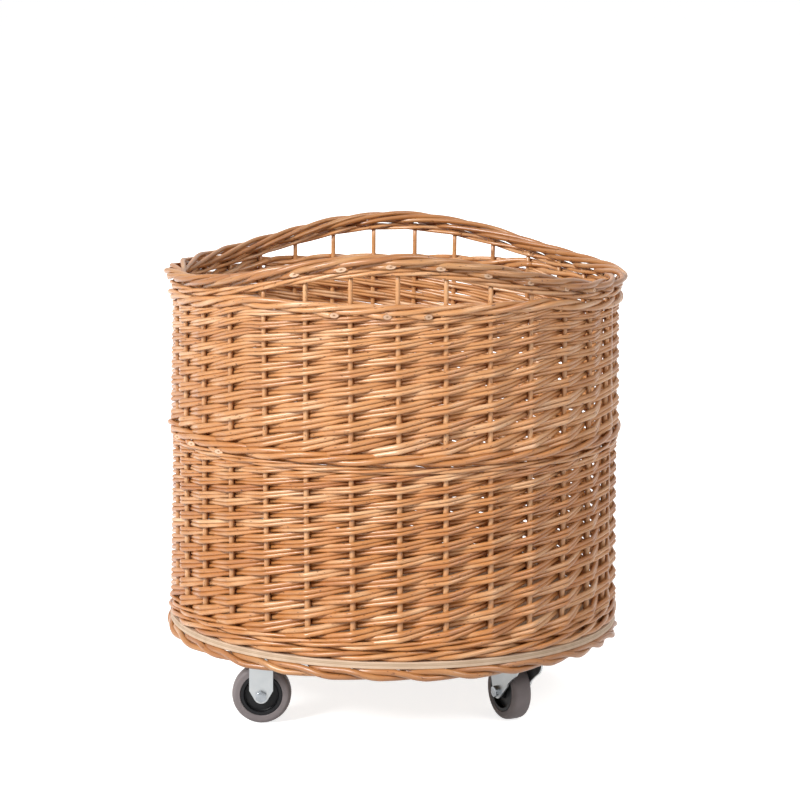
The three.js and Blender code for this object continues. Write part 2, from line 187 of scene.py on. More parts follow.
# %% Sweep a rod
ROD_SIDES = 8
ROUND_SIDES = 10
GRAIN_STARTS = 50
SEED = 31
chance = np.random.default_rng(SEED)


def willow_rod(path, thickness, tone, slant=0.0, sides=ROD_SIDES):
    radius = np.broadcast_to(np.asarray(thickness) / 2, len(path))
    along = distance_along(path)
    kept = along[-1] - along > 2 * slant * radius[-1]
    kept[-1] = True
    path, radius, along = path[kept], radius[kept], along[kept]
    tangents = unit(np.gradient(path, axis=0))
    normals = carried_normals(tangents)
    across = np.cross(tangents, normals)
    turn = 2 * math.pi * np.arange(sides) / sides
    wheel = np.stack([np.cos(turn), np.sin(turn)], axis=1)
    spokes = normals[:, None] * wheel[None, :, :1] + across[:, None] * wheel[None, :, 1:]
    rings = path[:, None] + radius[:, None, None] * spokes
    outward = unit(path[-1] * (1, 1, 0))
    setback = slant * radius[-1] * (1 + spokes[-1] @ outward)
    rings[-1] -= setback[:, None] * tangents[-1]
    grain = np.empty_like(rings)
    grain[..., :2] = radius[:, None, None] * wheel[None]
    grain[..., 2] = (along + chance.uniform(0, GRAIN_STARTS))[:, None]
    return {"rings": rings, "grain": grain, "tone": tone}


print("rods have", ROD_SIDES, "sides, or", ROUND_SIDES, "where they stand out")

# %% [markdown]
# ## Binding rods into one piece
# A band of the basket has dozens of rods. Each could be an object, but the scene is easier to keep in hand
# with one piece for each part of the basket, so the rods of a part are bound into one mesh. Their ends get
# flat faces with a second finish, the pale pith of a cut rod.

# %% Bind rods
def tube_faces(base, count, sides):
    ring = base + np.arange(count)[:, None] * sides
    here = np.arange(sides)
    after = (here + 1) % sides
    quads = np.stack([ring[:-1] + here, ring[:-1] + after, ring[1:] + after, ring[1:] + here], axis=-1)
    ends = [(base + here[::-1]).tolist(), (base + (count - 1) * sides + here).tolist()]
    return quads.reshape(-1, 4).tolist(), ends


def bind_rods(name, rods, finishes):
    points, grain, tones, faces, cut = [], [], [], [], []
    base = 0
    for rod in rods:
        count, sides, _ = rod["rings"].shape
        points.append(rod["rings"].reshape(-1, 3))
        grain.append(rod["grain"].reshape(-1, 3))
        tones.append(np.full(count * sides, rod["tone"]))
        bark, ends = tube_faces(base, count, sides)
        faces += bark + ends
        cut += [0] * len(bark) + [1] * len(ends)
        base += count * sides
    mesh = bpy.data.meshes.new(name)
    mesh.from_pydata(np.concatenate(points).tolist(), [], faces)
    grain_layer = mesh.attributes.new("grain", "FLOAT_VECTOR", "POINT")
    grain_layer.data.foreach_set("vector", np.concatenate(grain).ravel())
    tone_layer = mesh.attributes.new("tone", "FLOAT", "POINT")
    tone_layer.data.foreach_set("value", np.concatenate(tones))
    for finish in finishes:
        mesh.materials.append(finish)
    mesh.polygons.foreach_set("material_index", cut)
    mesh.polygons.foreach_set("use_smooth", [not end for end in cut])
    mesh.update()
    piece = bpy.data.objects.new(name, mesh)
    bpy.context.scene.collection.objects.link(piece)
    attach(piece, "basket")
    print(name, len(rods), "rods,", len(faces), "faces")
    return piece


print("between two rings a rod has", len(tube_faces(0, 2, ROD_SIDES)[0]), "faces")

# %% [markdown]
# ## The tone of a rod
# No two rods of a bundle match. A finish for every rod would do it, but that makes hundreds of finishes. One
# number for each rod, stored as the attribute "tone", makes it paler or browner within a single finish.

# %% Draw tones
MIDDLE_TONE, TONE_SPREAD = 0.51, 0.06


def rod_tone():
    return float(np.clip(chance.normal(MIDDLE_TONE, TONE_SPREAD), 0, 1))


print("rod tones", MIDDLE_TONE, "give or take", TONE_SPREAD)

# %% [markdown]
# ## Curves through a few points
# A waled or bordered strand is easiest to describe by the few places where it changes direction. A curve
# object could run through them, but it can't be measured before it becomes a mesh. This helper runs a smooth
# curve through rows of numbers: each row starts with a place in stakes, and the rest of the row are the
# values there, such as how far out and how high the strand is.

# %% Smooth curve through rows
def through(rows, at):
    rows = np.array(rows, float)
    places, values = rows[:, 0], rows[:, 1:]
    slopes = np.gradient(values, places, axis=0)
    index = np.clip(np.searchsorted(places, at, side="right") - 1, 0, len(places) - 2)
    span = (places[index + 1] - places[index])[:, None]
    share = (at - places[index])[:, None] / span
    ease = share * share * (3 - 2 * share)
    leave = share * (1 - share) ** 2
    arrive = share * share * (share - 1)
    level = values[index] * (1 - ease) + values[index + 1] * ease
    return level + span * (leave * slopes[index] + arrive * slopes[index + 1])


hill = [(0, 0), (1, 1), (2, 0)]
print("half way up a hill of 1 the curve is at", through(hill, np.array([0.5]))[0, 0])

# %% [markdown]
# ## Shader helpers
# The finishes are small networks of nodes. They could be drawn in the shader editor, but a script can make
# them again from nothing. Four helpers keep the cells short: one adds a node and wires its inputs, one fills
# a colour ramp, one starts a finish, and one wires an output to a socket.

# %% Node helpers
def add_node(finish, kind, inputs=None, **settings):
    tree = finish.node_tree
    made = tree.nodes.new(kind)
    for setting, value in settings.items():
        setattr(made, setting, value)
    for socket, value in (inputs or {}).items():
        if isinstance(value, bpy.types.NodeSocket):
            tree.links.new(value, made.inputs[socket])
        else:
            made.inputs[socket].default_value = value
    return made


def add_ramp(finish, factor, stops):
    ramp = add_node(finish, "ShaderNodeValToRGB", {"Fac": factor})
    elements = ramp.color_ramp.elements
    while len(elements) < len(stops):
        elements.new(0.5)
    for element, (place, colour) in zip(elements, stops):
        element.position = place
        element.color = (*colour, 1)
    return ramp.outputs["Color"]


def new_finish(name, roughness, metallic=0.0):
    finish = bpy.data.materials.new(name)
    finish.use_nodes = True
    shader = finish.node_tree.nodes["Principled BSDF"]
    shader.inputs["Roughness"].default_value = roughness
    shader.inputs["Metallic"].default_value = metallic
    return finish, shader


def wire(finish, output, socket):
    finish.node_tree.links.new(output, socket)


print("node helpers:", add_node.__name__, add_ramp.__name__, new_finish.__name__, wire.__name__)

# %% [markdown]
# ## Noise, colour over colour, and relief
# Real surfaces are uneven. An image could show that, but noise has no seams and never repeats. It is
# stretched along one direction for grain, laid over a colour with a Mix node, and fed to a Bump node for the
# finest relief. A Mix node has sockets for every kind of data under the same names, so the colour sockets
# are found by their number.

# %% Noise helpers
MIX_FACTOR, MIX_FIRST, MIX_SECOND, MIX_RESULT = 0, 6, 7, 2


def stretched_noise(finish, grain, scale, detail):
    mapping = add_node(finish, "ShaderNodeMapping", {"Vector": grain, "Scale": scale})
    noise = add_node(finish, "ShaderNodeTexNoise", {
        "Vector": mapping.outputs["Vector"], "Scale": 1.0, "Detail": detail})
    return noise.outputs["Fac"]


def multiply_colour(finish, share, first, second):
    mixed = add_node(finish, "ShaderNodeMix", {MIX_FACTOR: share, MIX_FIRST: first, MIX_SECOND: second},
                     data_type="RGBA", blend_type="MULTIPLY")
    return mixed.outputs[MIX_RESULT]


def add_relief(finish, shader, height, strength, depth):
    bump = add_node(finish, "ShaderNodeBump", {"Height": height, "Strength": strength, "Distance": depth})
    wire(finish, bump.outputs["Normal"], shader.inputs["Normal"])


print("noise helpers:", stretched_noise.__name__, multiply_colour.__name__, add_relief.__name__)

# %% [markdown]
# ## Willow
# Peeled and boiled willow is a honey tan with a satin skin. Each rod is paler or browner in stretches, fine
# streaks run along it, and here and there a bud scar leaves a dark speck. A photograph of bark could be
# wrapped round the rods, but it would show its seam. All of it is noise here, read from the straight rod's
# own coordinates: drawn out along the rod for the streaks, and left rounder for the specks.

# %% Willow finish
WILLOW_ROUGHNESS, WILLOW_SHINE = 0.34, 0.62
STRETCH_SCALE, STREAK_SCALE, SPECK_SCALE = (0, 0, 16), (700, 700, 24), (420, 420, 170)
TONE_DRIFT = 0.8
STREAK_STOPS = [(0.3, (0.78, 0.74, 0.70)), (0.62, (1.06, 1.05, 1.03))]
SCAR_STOPS = [(0.69, (1, 1, 1)), (0.74, (0.30, 0.20, 0.13))]
STREAK_SHARE = 0.75
SKIN_BUMP, SKIN_DEPTH = 0.35, 0.4 * MM


def willow_finish(name, deep, honey, pale):
    finish, shader = new_finish(name, WILLOW_ROUGHNESS)
    shader.inputs["Specular IOR Level"].default_value = WILLOW_SHINE
    grain = add_node(finish, "ShaderNodeAttribute", attribute_name="grain").outputs["Vector"]
    tone = add_node(finish, "ShaderNodeAttribute", attribute_name="tone").outputs["Fac"]
    stretch = stretched_noise(finish, grain, STRETCH_SCALE, detail=2)
    streak = stretched_noise(finish, grain, STREAK_SCALE, detail=4)
    speck = stretched_noise(finish, grain, SPECK_SCALE, detail=1)
    drift = add_node(finish, "ShaderNodeMath", {0: stretch, 1: TONE_DRIFT, 2: -TONE_DRIFT / 2},
                     operation="MULTIPLY_ADD").outputs[0]
    shade = add_node(finish, "ShaderNodeMath", {0: tone, 1: drift}, operation="ADD", use_clamp=True)
    body = add_ramp(finish, shade.outputs[0], [(0.0, deep), (0.5, honey), (1.0, pale)])
    streaked = multiply_colour(finish, STREAK_SHARE, body, add_ramp(finish, streak, STREAK_STOPS))
    scarred = multiply_colour(finish, 1.0, streaked, add_ramp(finish, speck, SCAR_STOPS))
    wire(finish, scarred, shader.inputs["Base Color"])
    add_relief(finish, shader, streak, SKIN_BUMP, SKIN_DEPTH)
    return finish


print("streaks are", round(STREAK_SCALE[0] / STREAK_SCALE[2]), "times as long as they are wide")

# %% [markdown]
# ## Four willows
# The lower half of this basket is of browner rods than the upper half, and their colour is darkened
# a little more as painted shade, for the light that falls off toward the foot. The stakes vary less, and
# the rolled borders are darkest. One finish for all would look painted. So the same network is made four
# times, each with a deep, a honey and a pale colour, and the tone of a rod says where it lies between them.

# %% Mix the willows
willow = willow_finish("woven_willow", (0.29, 0.094, 0.026), (0.53, 0.252, 0.096), (0.85, 0.64, 0.44))
# Browner rods, darkened further as painted shade where the light falls off toward the foot.
brown_willow_with_painted_shade = willow_finish(
    "brown_willow_with_painted_shade", (0.26, 0.073, 0.016), (0.462, 0.192, 0.057), (0.80, 0.55, 0.33))
stake_willow = willow_finish(
    "stake_willow", (0.28, 0.095, 0.028), (0.51, 0.248, 0.098), (0.72, 0.47, 0.26))
border_willow = willow_finish(
    "border_willow", (0.23, 0.068, 0.016), (0.38, 0.159, 0.050), (0.57, 0.335, 0.155))
print("willow finishes:", willow.name, brown_willow_with_painted_shade.name, stake_willow.name, border_willow.name)

# %% [markdown]
# ## Cut pith
# A rod that ends in sight is cut on a slant, and the cut shows pale wood with a brown heart. Growth rings
# could be modelled, but on a face this small colour is enough. It follows the distance from the rod's own
# middle line, which the grain coordinates hold.

# %% Pith finish
PITH_ROUGHNESS = 0.7
PITH_REACH = 4 * MM
PITH_STOPS = [
    (0.10, (0.20, 0.09, 0.04)), (0.28, (0.60, 0.38, 0.24)), (0.66, (0.68, 0.46, 0.31)),
    (0.86, (0.30, 0.13, 0.055))]
cut_pith, pith_shader = new_finish("cut_pith", PITH_ROUGHNESS)
pith_grain = add_node(cut_pith, "ShaderNodeAttribute", attribute_name="grain").outputs["Vector"]
pith_axes = add_node(cut_pith, "ShaderNodeSeparateXYZ", {"Vector": pith_grain}).outputs
pith_flat = add_node(cut_pith, "ShaderNodeCombineXYZ", {"X": pith_axes["X"], "Y": pith_axes["Y"]})
pith_distance = add_node(
    cut_pith, "ShaderNodeVectorMath", {0: pith_flat.outputs["Vector"]}, operation="LENGTH")
pith_share = add_node(
    cut_pith, "ShaderNodeMath", {0: pith_distance.outputs["Value"], 1: PITH_REACH}, operation="DIVIDE")
wire(cut_pith, add_ramp(cut_pith, pith_share.outputs[0], PITH_STOPS), pith_shader.inputs["Base Color"])
print("finish:", cut_pith.name)

# %% [markdown]
# ## Stakes
# The stakes are the thickest part of a willow shoot at the foot and thin out upward. Each one is its own
# piece. It starts in the board and runs up to the rim, where the rolled border takes it over. A cylinder
# would be quicker, but a taper and a slight sway keep the row from looking turned on a lathe.

# %% Make the stakes
STAKE_FOOT, STAKE_TIP = 8.0 * MM, 6.0 * MM
STAKE_SAMPLES = 26
SWAY, SWAY_LENGTH, SWAY_PHASES = 0.5 * MM, 0.11, 6


def stake_thickness(height):
    share = np.clip((height - board_low.z) / (RIM_HIGH - board_low.z), 0, 1)
    return STAKE_FOOT + (STAKE_TIP - STAKE_FOOT) * share


for index, stake_name in enumerate(stake_names):
    stake_height = np.linspace(board_low.z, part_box(stake_name)[1].z, STAKE_SAMPLES)
    sway = SWAY * np.sin(stake_height / SWAY_LENGTH + chance.uniform(0, SWAY_PHASES))
    stake_path = on_ring(np.full(STAKE_SAMPLES, float(index)), STAKE_CIRCLE, stake_height)
    sideways = np.array([-math.sin(angle_at(index)), math.cos(angle_at(index)), 0])
    stake_path += sway[:, None] * sideways
    rod = willow_rod(stake_path, stake_thickness(stake_height), rod_tone(), sides=ROUND_SIDES)
    piece = bind_rods(stake_name + "_rod", [rod], [stake_willow, cut_pith])
    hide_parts(stake_name)

# %% [markdown]
# ## In and out
# A woven rod passes outside one stake and inside the next. A sine wave is the simplest line for that, but a
# rod is stiff: it runs nearly straight from stake to stake and bends sharply round each. The arc sine of a
# cosine is such a zigzag with slightly rounded corners. More points are put near the stakes, at the bends.

# %% Steps along a woven rod
BAY_PLACES = np.array([0, 0.035, 0.1, 0.3, 0.5, 0.7, 0.9, 0.965])
BEND_SHARPNESS = 0.998


def bay_steps(start, end):
    places = np.arange(math.floor(start), math.ceil(end))[:, None] + BAY_PLACES
    return places[(places >= start) & (places <= end)]


def in_and_out(steps):
    return np.arcsin(BEND_SHARPNESS * np.cos(math.pi * steps)) / math.asin(BEND_SHARPNESS)


def level_at(height):
    return lambda stakes: height + 0 * stakes


print("a tenth of the way to the next stake a rod is", round(float(in_and_out(0.1)), 2), "outside")

# %% [markdown]
# ## The woven bands
# Each band is a French slew. A pair of rods starts at every stake, passes outside it, behind the next, and
# so on, and climbs one level at each stake, so the whole band grows evenly all round. A repeated tile of
# weaving would be quicker, but real rods start with thick butts and end in thin tips, so the levels get
# closer toward the top of the band. At a stake the pair lies one rod above the other, and between stakes it
# spreads evenly over the room there is.

# %% Weave a band
INSIDE_LIFT = 0.04
ROD_RUN_OUT = 0.9
LEVEL_WANDER = 0.3 * MM
PAIR_SPREAD = 0.04


def woven_rods(levels, low, high, first_pitch, butt, tip, taper):
    last = levels - 1
    steps = bay_steps(-1, last + ROD_RUN_OUT)
    slowdown = (first_pitch - 1) / last
    share = (first_pitch * steps - slowdown * steps * steps) / last
    pitch_share = (first_pitch - 2 * slowdown * steps) / last
    aged = np.clip(steps / last, 0, 1)
    thickness = tip + (butt - tip) * (1 - aged) ** taper
    crossing = in_and_out(steps)
    inside = (1 - crossing) / 2
    bays = np.arange(-1, levels + 1)
    rods = []
    for stake in range(STAKE_COUNT):
        stakes = stake + steps
        bottom, top = low(stakes), high(stakes)
        pitch = (top - bottom) * pitch_share
        height = bottom + (top - bottom) * share + INSIDE_LIFT * pitch * inside
        height = height + np.interp(steps, bays, chance.normal(0, LEVEL_WANDER, len(bays)))
        apart = thickness / 2 * crossing ** 2 + pitch / 4 * (1 - crossing ** 2)
        reach = (stake_thickness(height) + thickness) / 2
        radius = STAKE_CIRCLE + reach * crossing
        tone = rod_tone()
        for side in (-1, 1):
            pair_tone = float(np.clip(tone + chance.normal(0, PAIR_SPREAD), 0, 1))
            rods.append(willow_rod(on_ring(stakes, radius, height + side * apart), thickness, pair_tone))
    return rods


print("a band has", 2 * STAKE_COUNT, "rods, one pair from each stake")

# %% [markdown]
# ## The lower band
# The lower band is of browner rods, darkened further as painted shade toward the foot, and is level at
# both edges. It could be woven to a height of its own, but its edges are read from the solid, so that it
# fits between the rings below and above it.

# %% Weave the lower band
LOWER_LEVELS, LOWER_FIRST_PITCH = 21, 1.26
LOWER_BUTT, LOWER_TIP, LOWER_TAPER = 7.1 * MM, 4.45 * MM, 1.6
LOWER_START, LOWER_END = 5.5 * MM, 3.5 * MM
lower_low, lower_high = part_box("lower_weave")
lower_rods = woven_rods(
    LOWER_LEVELS, level_at(lower_low.z + LOWER_START), level_at(lower_high.z - LOWER_END),
    LOWER_FIRST_PITCH, LOWER_BUTT, LOWER_TIP, LOWER_TAPER)
lower_weave = bind_rods("lower_weave_rods", lower_rods, [brown_willow_with_painted_shade, cut_pith])
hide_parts("lower_weave")

# %% [markdown]
# ## The upper band
# The upper band is of thinner, paler rods. A level band with a second one added at the sides would show a
# seam. Here the top edge is the curve of the hand holds, and the levels are squeezed or spread to fit it.

# %% Weave the upper band
UPPER_LEVELS, UPPER_FIRST_PITCH = 17, 1.32
UPPER_BUTT, UPPER_TIP, UPPER_TAPER = 6.8 * MM, 4.1 * MM, 1.25
UPPER_START, UPPER_OVER = 6 * MM, 1.5 * MM
upper_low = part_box("upper_weave")[0]


def upper_edge(stakes):
    return weave_top(stakes) + UPPER_OVER


upper_rods = woven_rods(
    UPPER_LEVELS, level_at(upper_low.z + UPPER_START), upper_edge,
    UPPER_FIRST_PITCH, UPPER_BUTT, UPPER_TIP, UPPER_TAPER)
upper_weave = bind_rods("upper_weave_rods", upper_rods, [willow, cut_pith])
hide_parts("upper_weave")

# %% [markdown]
# ## The waled rings
# A three-rod wale goes round in front of two stakes and behind one. In front a rod starts low and climbs
# over the next one, so the strokes look like a rope that rises to the right. A twisted rope bent into a ring
# would not pass behind the stakes, so each rod follows rows of a place in stakes, how far out it lies, where
# 1 is just outside the stake, and how high, in half rods. A round uses several rods, and each new one starts
# behind a stake, where the join is out of sight.

# %% Twine a wale
WALE_ROWS = [(0, 1, -1), (1, 1, 1), (1.5, 0.1, 1), (2, -1, 0), (2.5, 0.1, -1)]
WALE_PERIOD = 3
WALE_START = 2
WALE_JOIN = 12
WALE_OVERLAP = 0.2
WALE_SAMPLES = 8
WALE_TAPER = 0.06


def wale_rods(middle, thickness):
    rows = [(WALE_PERIOD * turn + place, side, rise)
            for turn in range(-1, STAKE_COUNT + 3) for place, side, rise in WALE_ROWS]
    finish_line = WALE_START + WALE_PERIOD * STAKE_COUNT
    rods = []
    for start in range(WALE_START, finish_line, WALE_JOIN):
        end = min(start + WALE_JOIN, finish_line) + WALE_OVERLAP
        steps = np.arange(start - WALE_OVERLAP, end, 1 / WALE_SAMPLES)
        side, rise = through(rows, steps).T
        girth = thickness * (1 + np.interp(steps, [start, end], [WALE_TAPER, -WALE_TAPER]))
        bays = np.arange(start - 1, end + 2)
        wander = np.interp(steps, bays, chance.normal(0, LEVEL_WANDER, len(bays)))
        height = middle(steps) + rise * girth / 2 + wander
        reach = (stake_thickness(height) + girth) / 2
        path = on_ring(steps, STAKE_CIRCLE + side * reach, height)
        rods.append(willow_rod(path, girth, rod_tone()))
    return rods


print("a wale passes", WALE_PERIOD * STAKE_COUNT, "stakes, with a new rod after every", WALE_JOIN)

# %% [markdown]
# ## Cut butts
# A new rod is set in with its thick end, the butt, and in some places that end is left outside and cut on a
# slant. Pale dots could be painted on, but a short rod with a real cut also shows from the side and casts a
# shadow. It comes from behind a stake and ends under the wale.

# %% Cut the butts
BUTT_ROWS = [(-0.9, -0.8, -0.6), (-0.55, 0.3, -1.3), (-0.3, 1.0, -1.9), (0, 1.35, -2.2)]
BUTT_SAMPLES = 14
BUTT_SLANT = 1.5


def wale_butts(middle, thickness, ends):
    steps = np.linspace(BUTT_ROWS[0][0], 0, BUTT_SAMPLES)
    side, rise = through(BUTT_ROWS, steps).T
    rods = []
    for end in ends:
        height = middle(end + steps) + rise * thickness / 2
        reach = (stake_thickness(height) + thickness) / 2
        path = on_ring(end + steps, STAKE_CIRCLE + side * reach, height)
        rods.append(willow_rod(path, thickness, rod_tone(), BUTT_SLANT, ROUND_SIDES))
    return rods


print("a butt shows over", -BUTT_ROWS[1][0], "of the way between two stakes")

# %% [markdown]
# ## The first ring
# The upsett is the first waling, right on the board, and it sets the stakes upright for the weaving. One
# thick round would look too coarse: this basket has two, the lower one of thicker rods.

# %% Wale the first ring
UPSETT_LOWER_ROD, UPSETT_UPPER_ROD = 6.4 * MM, 5.2 * MM
upsett_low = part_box("upsett_wale")[0]
upsett_rods = wale_rods(level_at(upsett_low.z + UPSETT_LOWER_ROD), UPSETT_LOWER_ROD)
upsett_rods += wale_rods(level_at(upsett_low.z + 2 * UPSETT_LOWER_ROD + UPSETT_UPPER_ROD), UPSETT_UPPER_ROD)
upsett = bind_rods("upsett_wale_rods", upsett_rods, [brown_willow_with_painted_shade, cut_pith])
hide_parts("upsett_wale")

# %% [markdown]
# ## The middle ring
# Between the bands lies a ring of two rounds, a thin one and a thick one over it. It could be copied from
# the first ring, but here three cut butts stand out at the left of the front, so it gets rods of its own.

# %% Wale the middle ring
MIDDLE_LOWER_ROD, MIDDLE_UPPER_ROD = 4.2 * MM, 7.2 * MM
MIDDLE_BUTTS = [-6.15, -5.25, -4.15]
middle_low, middle_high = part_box("middle_wale")
middle_top_round = level_at(middle_high.z - MIDDLE_UPPER_ROD)
middle_rods = wale_rods(level_at(middle_low.z + MIDDLE_LOWER_ROD), MIDDLE_LOWER_ROD)
middle_rods += wale_rods(middle_top_round, MIDDLE_UPPER_ROD)
middle_rods += wale_butts(middle_top_round, MIDDLE_UPPER_ROD, MIDDLE_BUTTS)
middle = bind_rods("middle_wale_rods", middle_rods, [brown_willow_with_painted_shade, cut_pith])
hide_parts("middle_wale")

# %% [markdown]
# ## The ring under the hand holds
# One round of thick rods closes the upper band. A level ring would cut through the weave at the sides, so
# its middle line is taken from the top of the band. Three butts show under the front hand hold.

# %% Wale the ring under the hand holds
UPPER_WALE_ROD = 7.0 * MM
UPPER_WALE_LIFT = 1.95
FRONT_BUTTS = [-1.22, -0.13, 0.71]


def upper_wale_middle(stakes):
    return weave_top(stakes) + UPPER_WALE_LIFT * UPPER_WALE_ROD


upper_wale_rods = wale_rods(upper_wale_middle, UPPER_WALE_ROD)
upper_wale_rods += wale_butts(upper_wale_middle, UPPER_WALE_ROD, FRONT_BUTTS)
upper_wale = bind_rods("upper_wale_rods", upper_wale_rods, [willow, cut_pith])
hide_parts("upper_wale")

# %% [markdown]
# ## The ring under the rim
# A last round of thin rods spans the hand holds and carries the border. It could be left out of sight behind
# the border, but it shows under it all along the arch, so it is twined like the others.

# %% Wale the ring under the rim
RIM_WALE_ROD = 4.9 * MM
RIM_WALE_DROP = 1.1


def rim_wale_middle(stakes):
    return rim_height(stakes) - RIM_WALE_DROP * RIM_WALE_ROD


rim_wale_rods = wale_rods(rim_wale_middle, RIM_WALE_ROD)
rim_wale = bind_rods("rim_wale_rods", rim_wale_rods, [willow, cut_pith])
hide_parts("rim_wale")

# %% [markdown]
# ## Border strands
# In a rolled border every stake is bent over and does the same thing one place further on, so the strands
# lie round each other like a rope. A twisted ring would have no ends and gaps, so each strand is made on
# its own. It follows rows of a place in stakes and two distances in millimetres, outward and up, and each
# strand lies a little looser or tighter than the next.

# %% Roll a border
BORDER_SAMPLES = 56
BORDER_LOOSE = 0.5 * MM
TUCKED_END = 4.2


def border_rods(rows, heights, butt, tip, slant, tucked=()):
    first, last = rows[0][0], rows[-1][0]
    rods = []
    for stake in range(STAKE_COUNT):
        steps = np.linspace(first, TUCKED_END if stake in tucked else last, BORDER_SAMPLES)
        out, up = through(rows, steps).T * MM
        girth = np.interp(steps, [first, last], [butt, tip])
        stakes = stake + steps
        looser = chance.normal(0, BORDER_LOOSE, 2)
        bent = np.clip(steps, 0, 1)
        radius = STAKE_CIRCLE + out + looser[0] * bent
        height = heights(stakes) + up + looser[1] * bent
        rods.append(willow_rod(on_ring(stakes, radius, height), girth, rod_tone(), slant, ROUND_SIDES))
    return rods


print("a border has", STAKE_COUNT, "strands")

# %% [markdown]
# ## The rim border
# Over the last wale each stake is bent to the right. It comes out in front of the next two stakes and
# climbs, goes over the top, runs down inside past two more, comes out again underneath, and is cut off on a
# slant. The rows could come from a sine and a cosine, but a real strand lingers outside and hurries through
# below. Four of the ends stay tucked in behind, as in the photo.

# %% Roll the rim border
RIM_STRAND_BUTT, RIM_STRAND_TIP, RIM_SLANT = 7.8 * MM, 5.8 * MM, 2.1
TUCKED_STRANDS = range(20, 24)
RIM_ROWS = [
    (0.00, 0.0, -6.0), (0.12, 0.4, -0.3), (0.32, 2.0, 2.6), (0.62, 5.4, 5.0), (1.00, 10.2, 6.8),
    (1.50, 12.6, 9.2), (2.00, 7.4, 12.4), (2.50, -0.6, 12.6), (3.00, -6.4, 10.4), (3.50, -8.4, 7.2),
    (4.00, -8.0, 4.2), (4.22, -5.4, 2.6), (4.38, -1.0, 1.2), (4.56, 6.2, 1.0), (4.76, 10.4, 1.6),
    (4.95, 12.4, 2.2)]
rim_rods = border_rods(RIM_ROWS, rim_height, RIM_STRAND_BUTT, RIM_STRAND_TIP, RIM_SLANT, TUCKED_STRANDS)
rim_border = bind_rods("rim_border_rods", rim_rods, [border_willow, cut_pith])
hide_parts("rim_border")

# %% [markdown]
# ## The foot border
# The lower ends of the stakes come out under the board and are rolled to the right in the same way. The rim
# border could be turned over for it, but this one is shorter: each strand comes down outside its neighbour
# and tucks under, so from the side they slope down to the right.

# %% Roll the foot border
FOOT_STRAND_BUTT, FOOT_STRAND_TIP, FOOT_SLANT = 8.4 * MM, 7.4 * MM, 0.6
FOOT_ROWS = [
    (0.00, 0.0, 4.0), (0.06, 0.8, -1.2), (0.18, 4.2, -3.6), (0.35, 6.4, -3.7), (0.60, 7.2, -3.6),
    (0.90, 8.2, -4.0), (1.10, 9.8, -5.8), (1.30, 10.0, -9.0), (1.50, 8.8, -11.2), (1.80, 5.4, -11.6),
    (2.20, 0.0, -11.4), (2.50, -3.4, -10.8), (2.80, -6.0, -9.0)]
foot_rods = border_rods(FOOT_ROWS, level_at(board_low.z), FOOT_STRAND_BUTT, FOOT_STRAND_TIP, FOOT_SLANT)
foot_border = bind_rods("foot_border_rods", foot_rods, [border_willow, cut_pith])
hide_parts("foot_border")

# %% [markdown]
# ## Castor frames
# Four castors carry the basket, two rigid ones on the left and two that swivel on the right. They could be
# modelled in place, but it is easier to think in a castor's own frame: X the way it rolls, Y along its axle
# and Z up, in millimetres, from the floor under its plate. The joints of the solid model say where that is.
# A plate doesn't turn with its fork, so it has a place of its own.

# %% Read the castors from the joints
joints = {joint["name"]: joint for joint in frame["joints"]}
castors = {}
for castor in ("front_left", "rear_left", "front_right", "rear_right"):
    roll = joints[castor + "_roll"]
    swivels = castor + "_turn" in joints
    pivot = joints.get(castor + "_turn", roll)["pos_m"]
    axle = Vector(roll["axis"]).normalized()
    ahead = axle.cross(Vector((0, 0, 1)))
    turned_to = Matrix((ahead, axle, (0, 0, 1))).transposed().to_4x4()
    stand = Matrix.Translation((pivot[0], pivot[1], 0))
    fork_place = stand @ turned_to @ Matrix.Scale(MM, 4)
    wheel_centre = fork_place.inverted() @ Vector(roll["pos_m"])
    castors[castor] = {
        "swivels": swivels, "carrier": castor + "_swivel" if swivels else "basket",
        "plate_place": stand @ Matrix.Scale(MM, 4), "fork_place": fork_place,
        "wheel_place": fork_place @ Matrix.Translation(wheel_centre), "wheel_centre": wheel_centre}
    centre = [round(side, 1) for side in wheel_centre]
    print(castor, "swivels," if swivels else "is rigid,", "axle at", centre)

# %% [markdown]
# ## Turned shapes
# Nearly every castor part is either turned round an axis or cut from sheet. Each helper gives a plain list
# of points and faces, so that shapes can be put together before they become one mesh. Blender has spin and
# screw tools for turned parts, but plain lists keep the sizes in sight.

# %% Turn a section
TURNED_SIDES = 56


def turned(profile, axis, sides=TURNED_SIDES):
    points, faces = [], []
    rows = len(profile)
    for step in range(sides):
        turn = 2 * math.pi * step / sides
        for radius, along in profile:
            spot = Vector((radius * math.cos(turn), radius * math.sin(turn), along))
            points.append(spot if axis == "Z" else Vector((spot.y, spot.z, spot.x)))
        here, after = step * rows, (step + 1) % sides * rows
        faces += [(here + row, after + row, after + row + 1, here + row + 1) for row in range(rows - 1)]
    return points, faces


print("turned parts have", TURNED_SIDES, "sides where nothing else is said")

# %% [markdown]
# ## Sheet, and shapes put together
# A plate is an outline with a thickness. An extrude would make it too, but then its faces would have to be
# picked out again. Here they are counted off round the outline. Two more helpers join shapes and move them.

# %% Sheet helpers
def ring_faces(lower, upper, count):
    pairs = [(here, (here + 1) % count) for here in range(count)]
    return [(lower + here, lower + after, upper + after, upper + here) for here, after in pairs]


def slab(outline, low, high):
    count = len(outline)
    points = [Vector((x, y, level)) for level in (low, high) for x, y in outline]
    caps = [tuple(reversed(range(count))), tuple(range(count, 2 * count))]
    return points, caps + ring_faces(0, count, count)


def together(*shapes):
    points, faces = [], []
    for shape_points, shape_faces in shapes:
        faces += [tuple(len(points) + corner for corner in face) for face in shape_faces]
        points += shape_points
    return points, faces


def moved(shape, matrix):
    return [matrix @ point for point in shape[0]], shape[1]


print("a square plate has", len(slab([(0, 0), (1, 0), (1, 1), (0, 1)], 0, 1)[1]), "faces")

